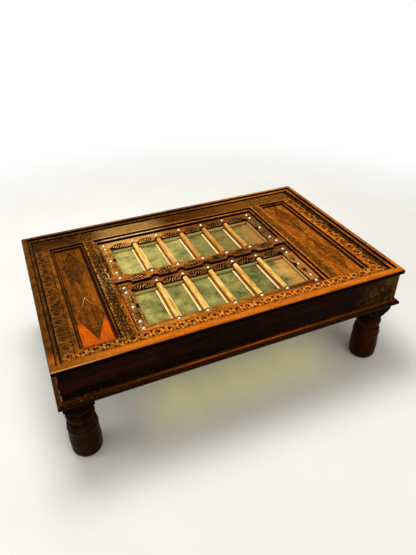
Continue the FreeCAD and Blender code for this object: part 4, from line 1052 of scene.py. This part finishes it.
FLOOR_REACH, FLOOR_FADE = 24.0, (1.3, 2.6)
FLOOR_GREY, FLOOR_PALE = srgb(227, 226, 222), srgb(230, 229, 225)
WHITE, SOFT_LIGHT, SOFT_STRENGTH = (1.0, 1.0, 1.0, 1.0), (1.0, 0.96, 0.84, 1.0), 0.46
WARM, COOL = (1.0, 0.97, 0.92), (0.96, 0.98, 1.0)
# Each lamp's place, size, watts and colour. All are aimed at the middle of the table.
LAMPS = (("key_lamp", (-0.28, 0.47, 3.1), (1.4, 1.1), 81.0, COOL),
         ("side_lamp", (-2.4, 0.0, 2.0), (1.4, 1.4), 18.0, WARM),
         ("front_lamp", (0.9, -3.0, 2.2), (2.4, 1.6), 25.0, WARM))
AIM = (0.0, 0.0, 0.35)


def add_floor():
    """Plain and pale, and fading into the white background."""
    mesh = bpy.data.meshes.new("floor")
    corners = [(x * FLOOR_REACH, y * FLOOR_REACH, 0.0) for x, y in ((-1, -1), (1, -1), (1, 1), (-1, 1))]
    mesh.from_pydata(corners, [], [(0, 1, 2, 3)])
    floor = bpy.data.objects.new("floor", mesh)
    bpy.context.scene.collection.objects.link(floor)
    t = Tree(bpy.data.materials.new("pale_floor"))
    colour = t.mix(t.noise(3.0).rise(0.35, 0.7), FLOOR_GREY, FLOOR_PALE)
    matte = t.feed(t.node("ShaderNodeBsdfDiffuse"), Color=colour, Roughness=0.5)
    white = t.feed(t.node("ShaderNodeEmission"), Color=WHITE, Strength=1.0)
    reach = t.feed(t.node("ShaderNodeVectorMath", operation="LENGTH"), t.place, output="Value")
    mesh.materials.append(t.surface(t.blend(reach.rise(*FLOOR_FADE) * t.seen(), matte, white)))


def add_world():
    """White where seen, a soft warm light elsewhere."""
    world = bpy.data.worlds.new("studio")
    bpy.context.scene.world = world
    t = Tree(world, "ShaderNodeOutputWorld")
    soft = t.feed(t.node("ShaderNodeBackground"), Color=SOFT_LIGHT, Strength=SOFT_STRENGTH)
    white = t.feed(t.node("ShaderNodeBackground"), Color=WHITE, Strength=1.0)
    t.surface(t.blend(t.seen(), soft, white))


def add_lamp(name, place, size, power, colour):
    lamp = bpy.data.lights.new(name, "AREA")
    lamp.shape = "RECTANGLE"
    lamp.size, lamp.size_y = size
    lamp.energy = power
    lamp.color = colour
    holder = bpy.data.objects.new(name, lamp)
    bpy.context.scene.collection.objects.link(holder)
    holder.location = place
    holder.rotation_euler = (Vector(AIM) - Vector(place)).to_track_quat("-Z", "Y").to_euler()


# The camera fitted to the photograph: place in metres, angles in radians, focal length in pixels,
# sensor in millimetres
CAMERA_PLACE = (-0.5569, -1.3711, 1.3446)
CAMERA_YAW, CAMERA_PITCH, CAMERA_ROLL = 0.3994, 0.6085, -0.0141
FOCAL_PIXELS, PHOTO_HEIGHT, SENSOR = 475.72, 555.0, 36.0


def add_camera():
    camera = bpy.data.cameras.new("camera")
    camera.sensor_width = SENSOR
    camera.lens = FOCAL_PIXELS * SENSOR / PHOTO_HEIGHT
    camera.clip_start = 0.02
    holder = bpy.data.objects.new("camera", camera)
    bpy.context.scene.collection.objects.link(holder)
    flat = math.cos(CAMERA_PITCH)
    ahead = Vector((math.sin(CAMERA_YAW) * flat, math.cos(CAMERA_YAW) * flat, -math.sin(CAMERA_PITCH)))
    level = Vector((math.cos(CAMERA_YAW), -math.sin(CAMERA_YAW), 0.0))
    above = level.cross(ahead)
    right = level * math.cos(CAMERA_ROLL) + above * math.sin(CAMERA_ROLL)
    up = above * math.cos(CAMERA_ROLL) - level * math.sin(CAMERA_ROLL)
    turn = Matrix((right, up, -ahead)).transposed().to_4x4()
    holder.matrix_world = Matrix.Translation(CAMERA_PLACE) @ turn
    bpy.context.scene.camera = holder


dress_nodes()
carve_frame()
carve_panels()
carve_long_pieces()
carve_end_rails()
add_floor()
add_world()
for lamp in LAMPS:
    add_lamp(*lamp)
add_camera()
bpy.context.scene.view_settings.view_transform = "Standard"
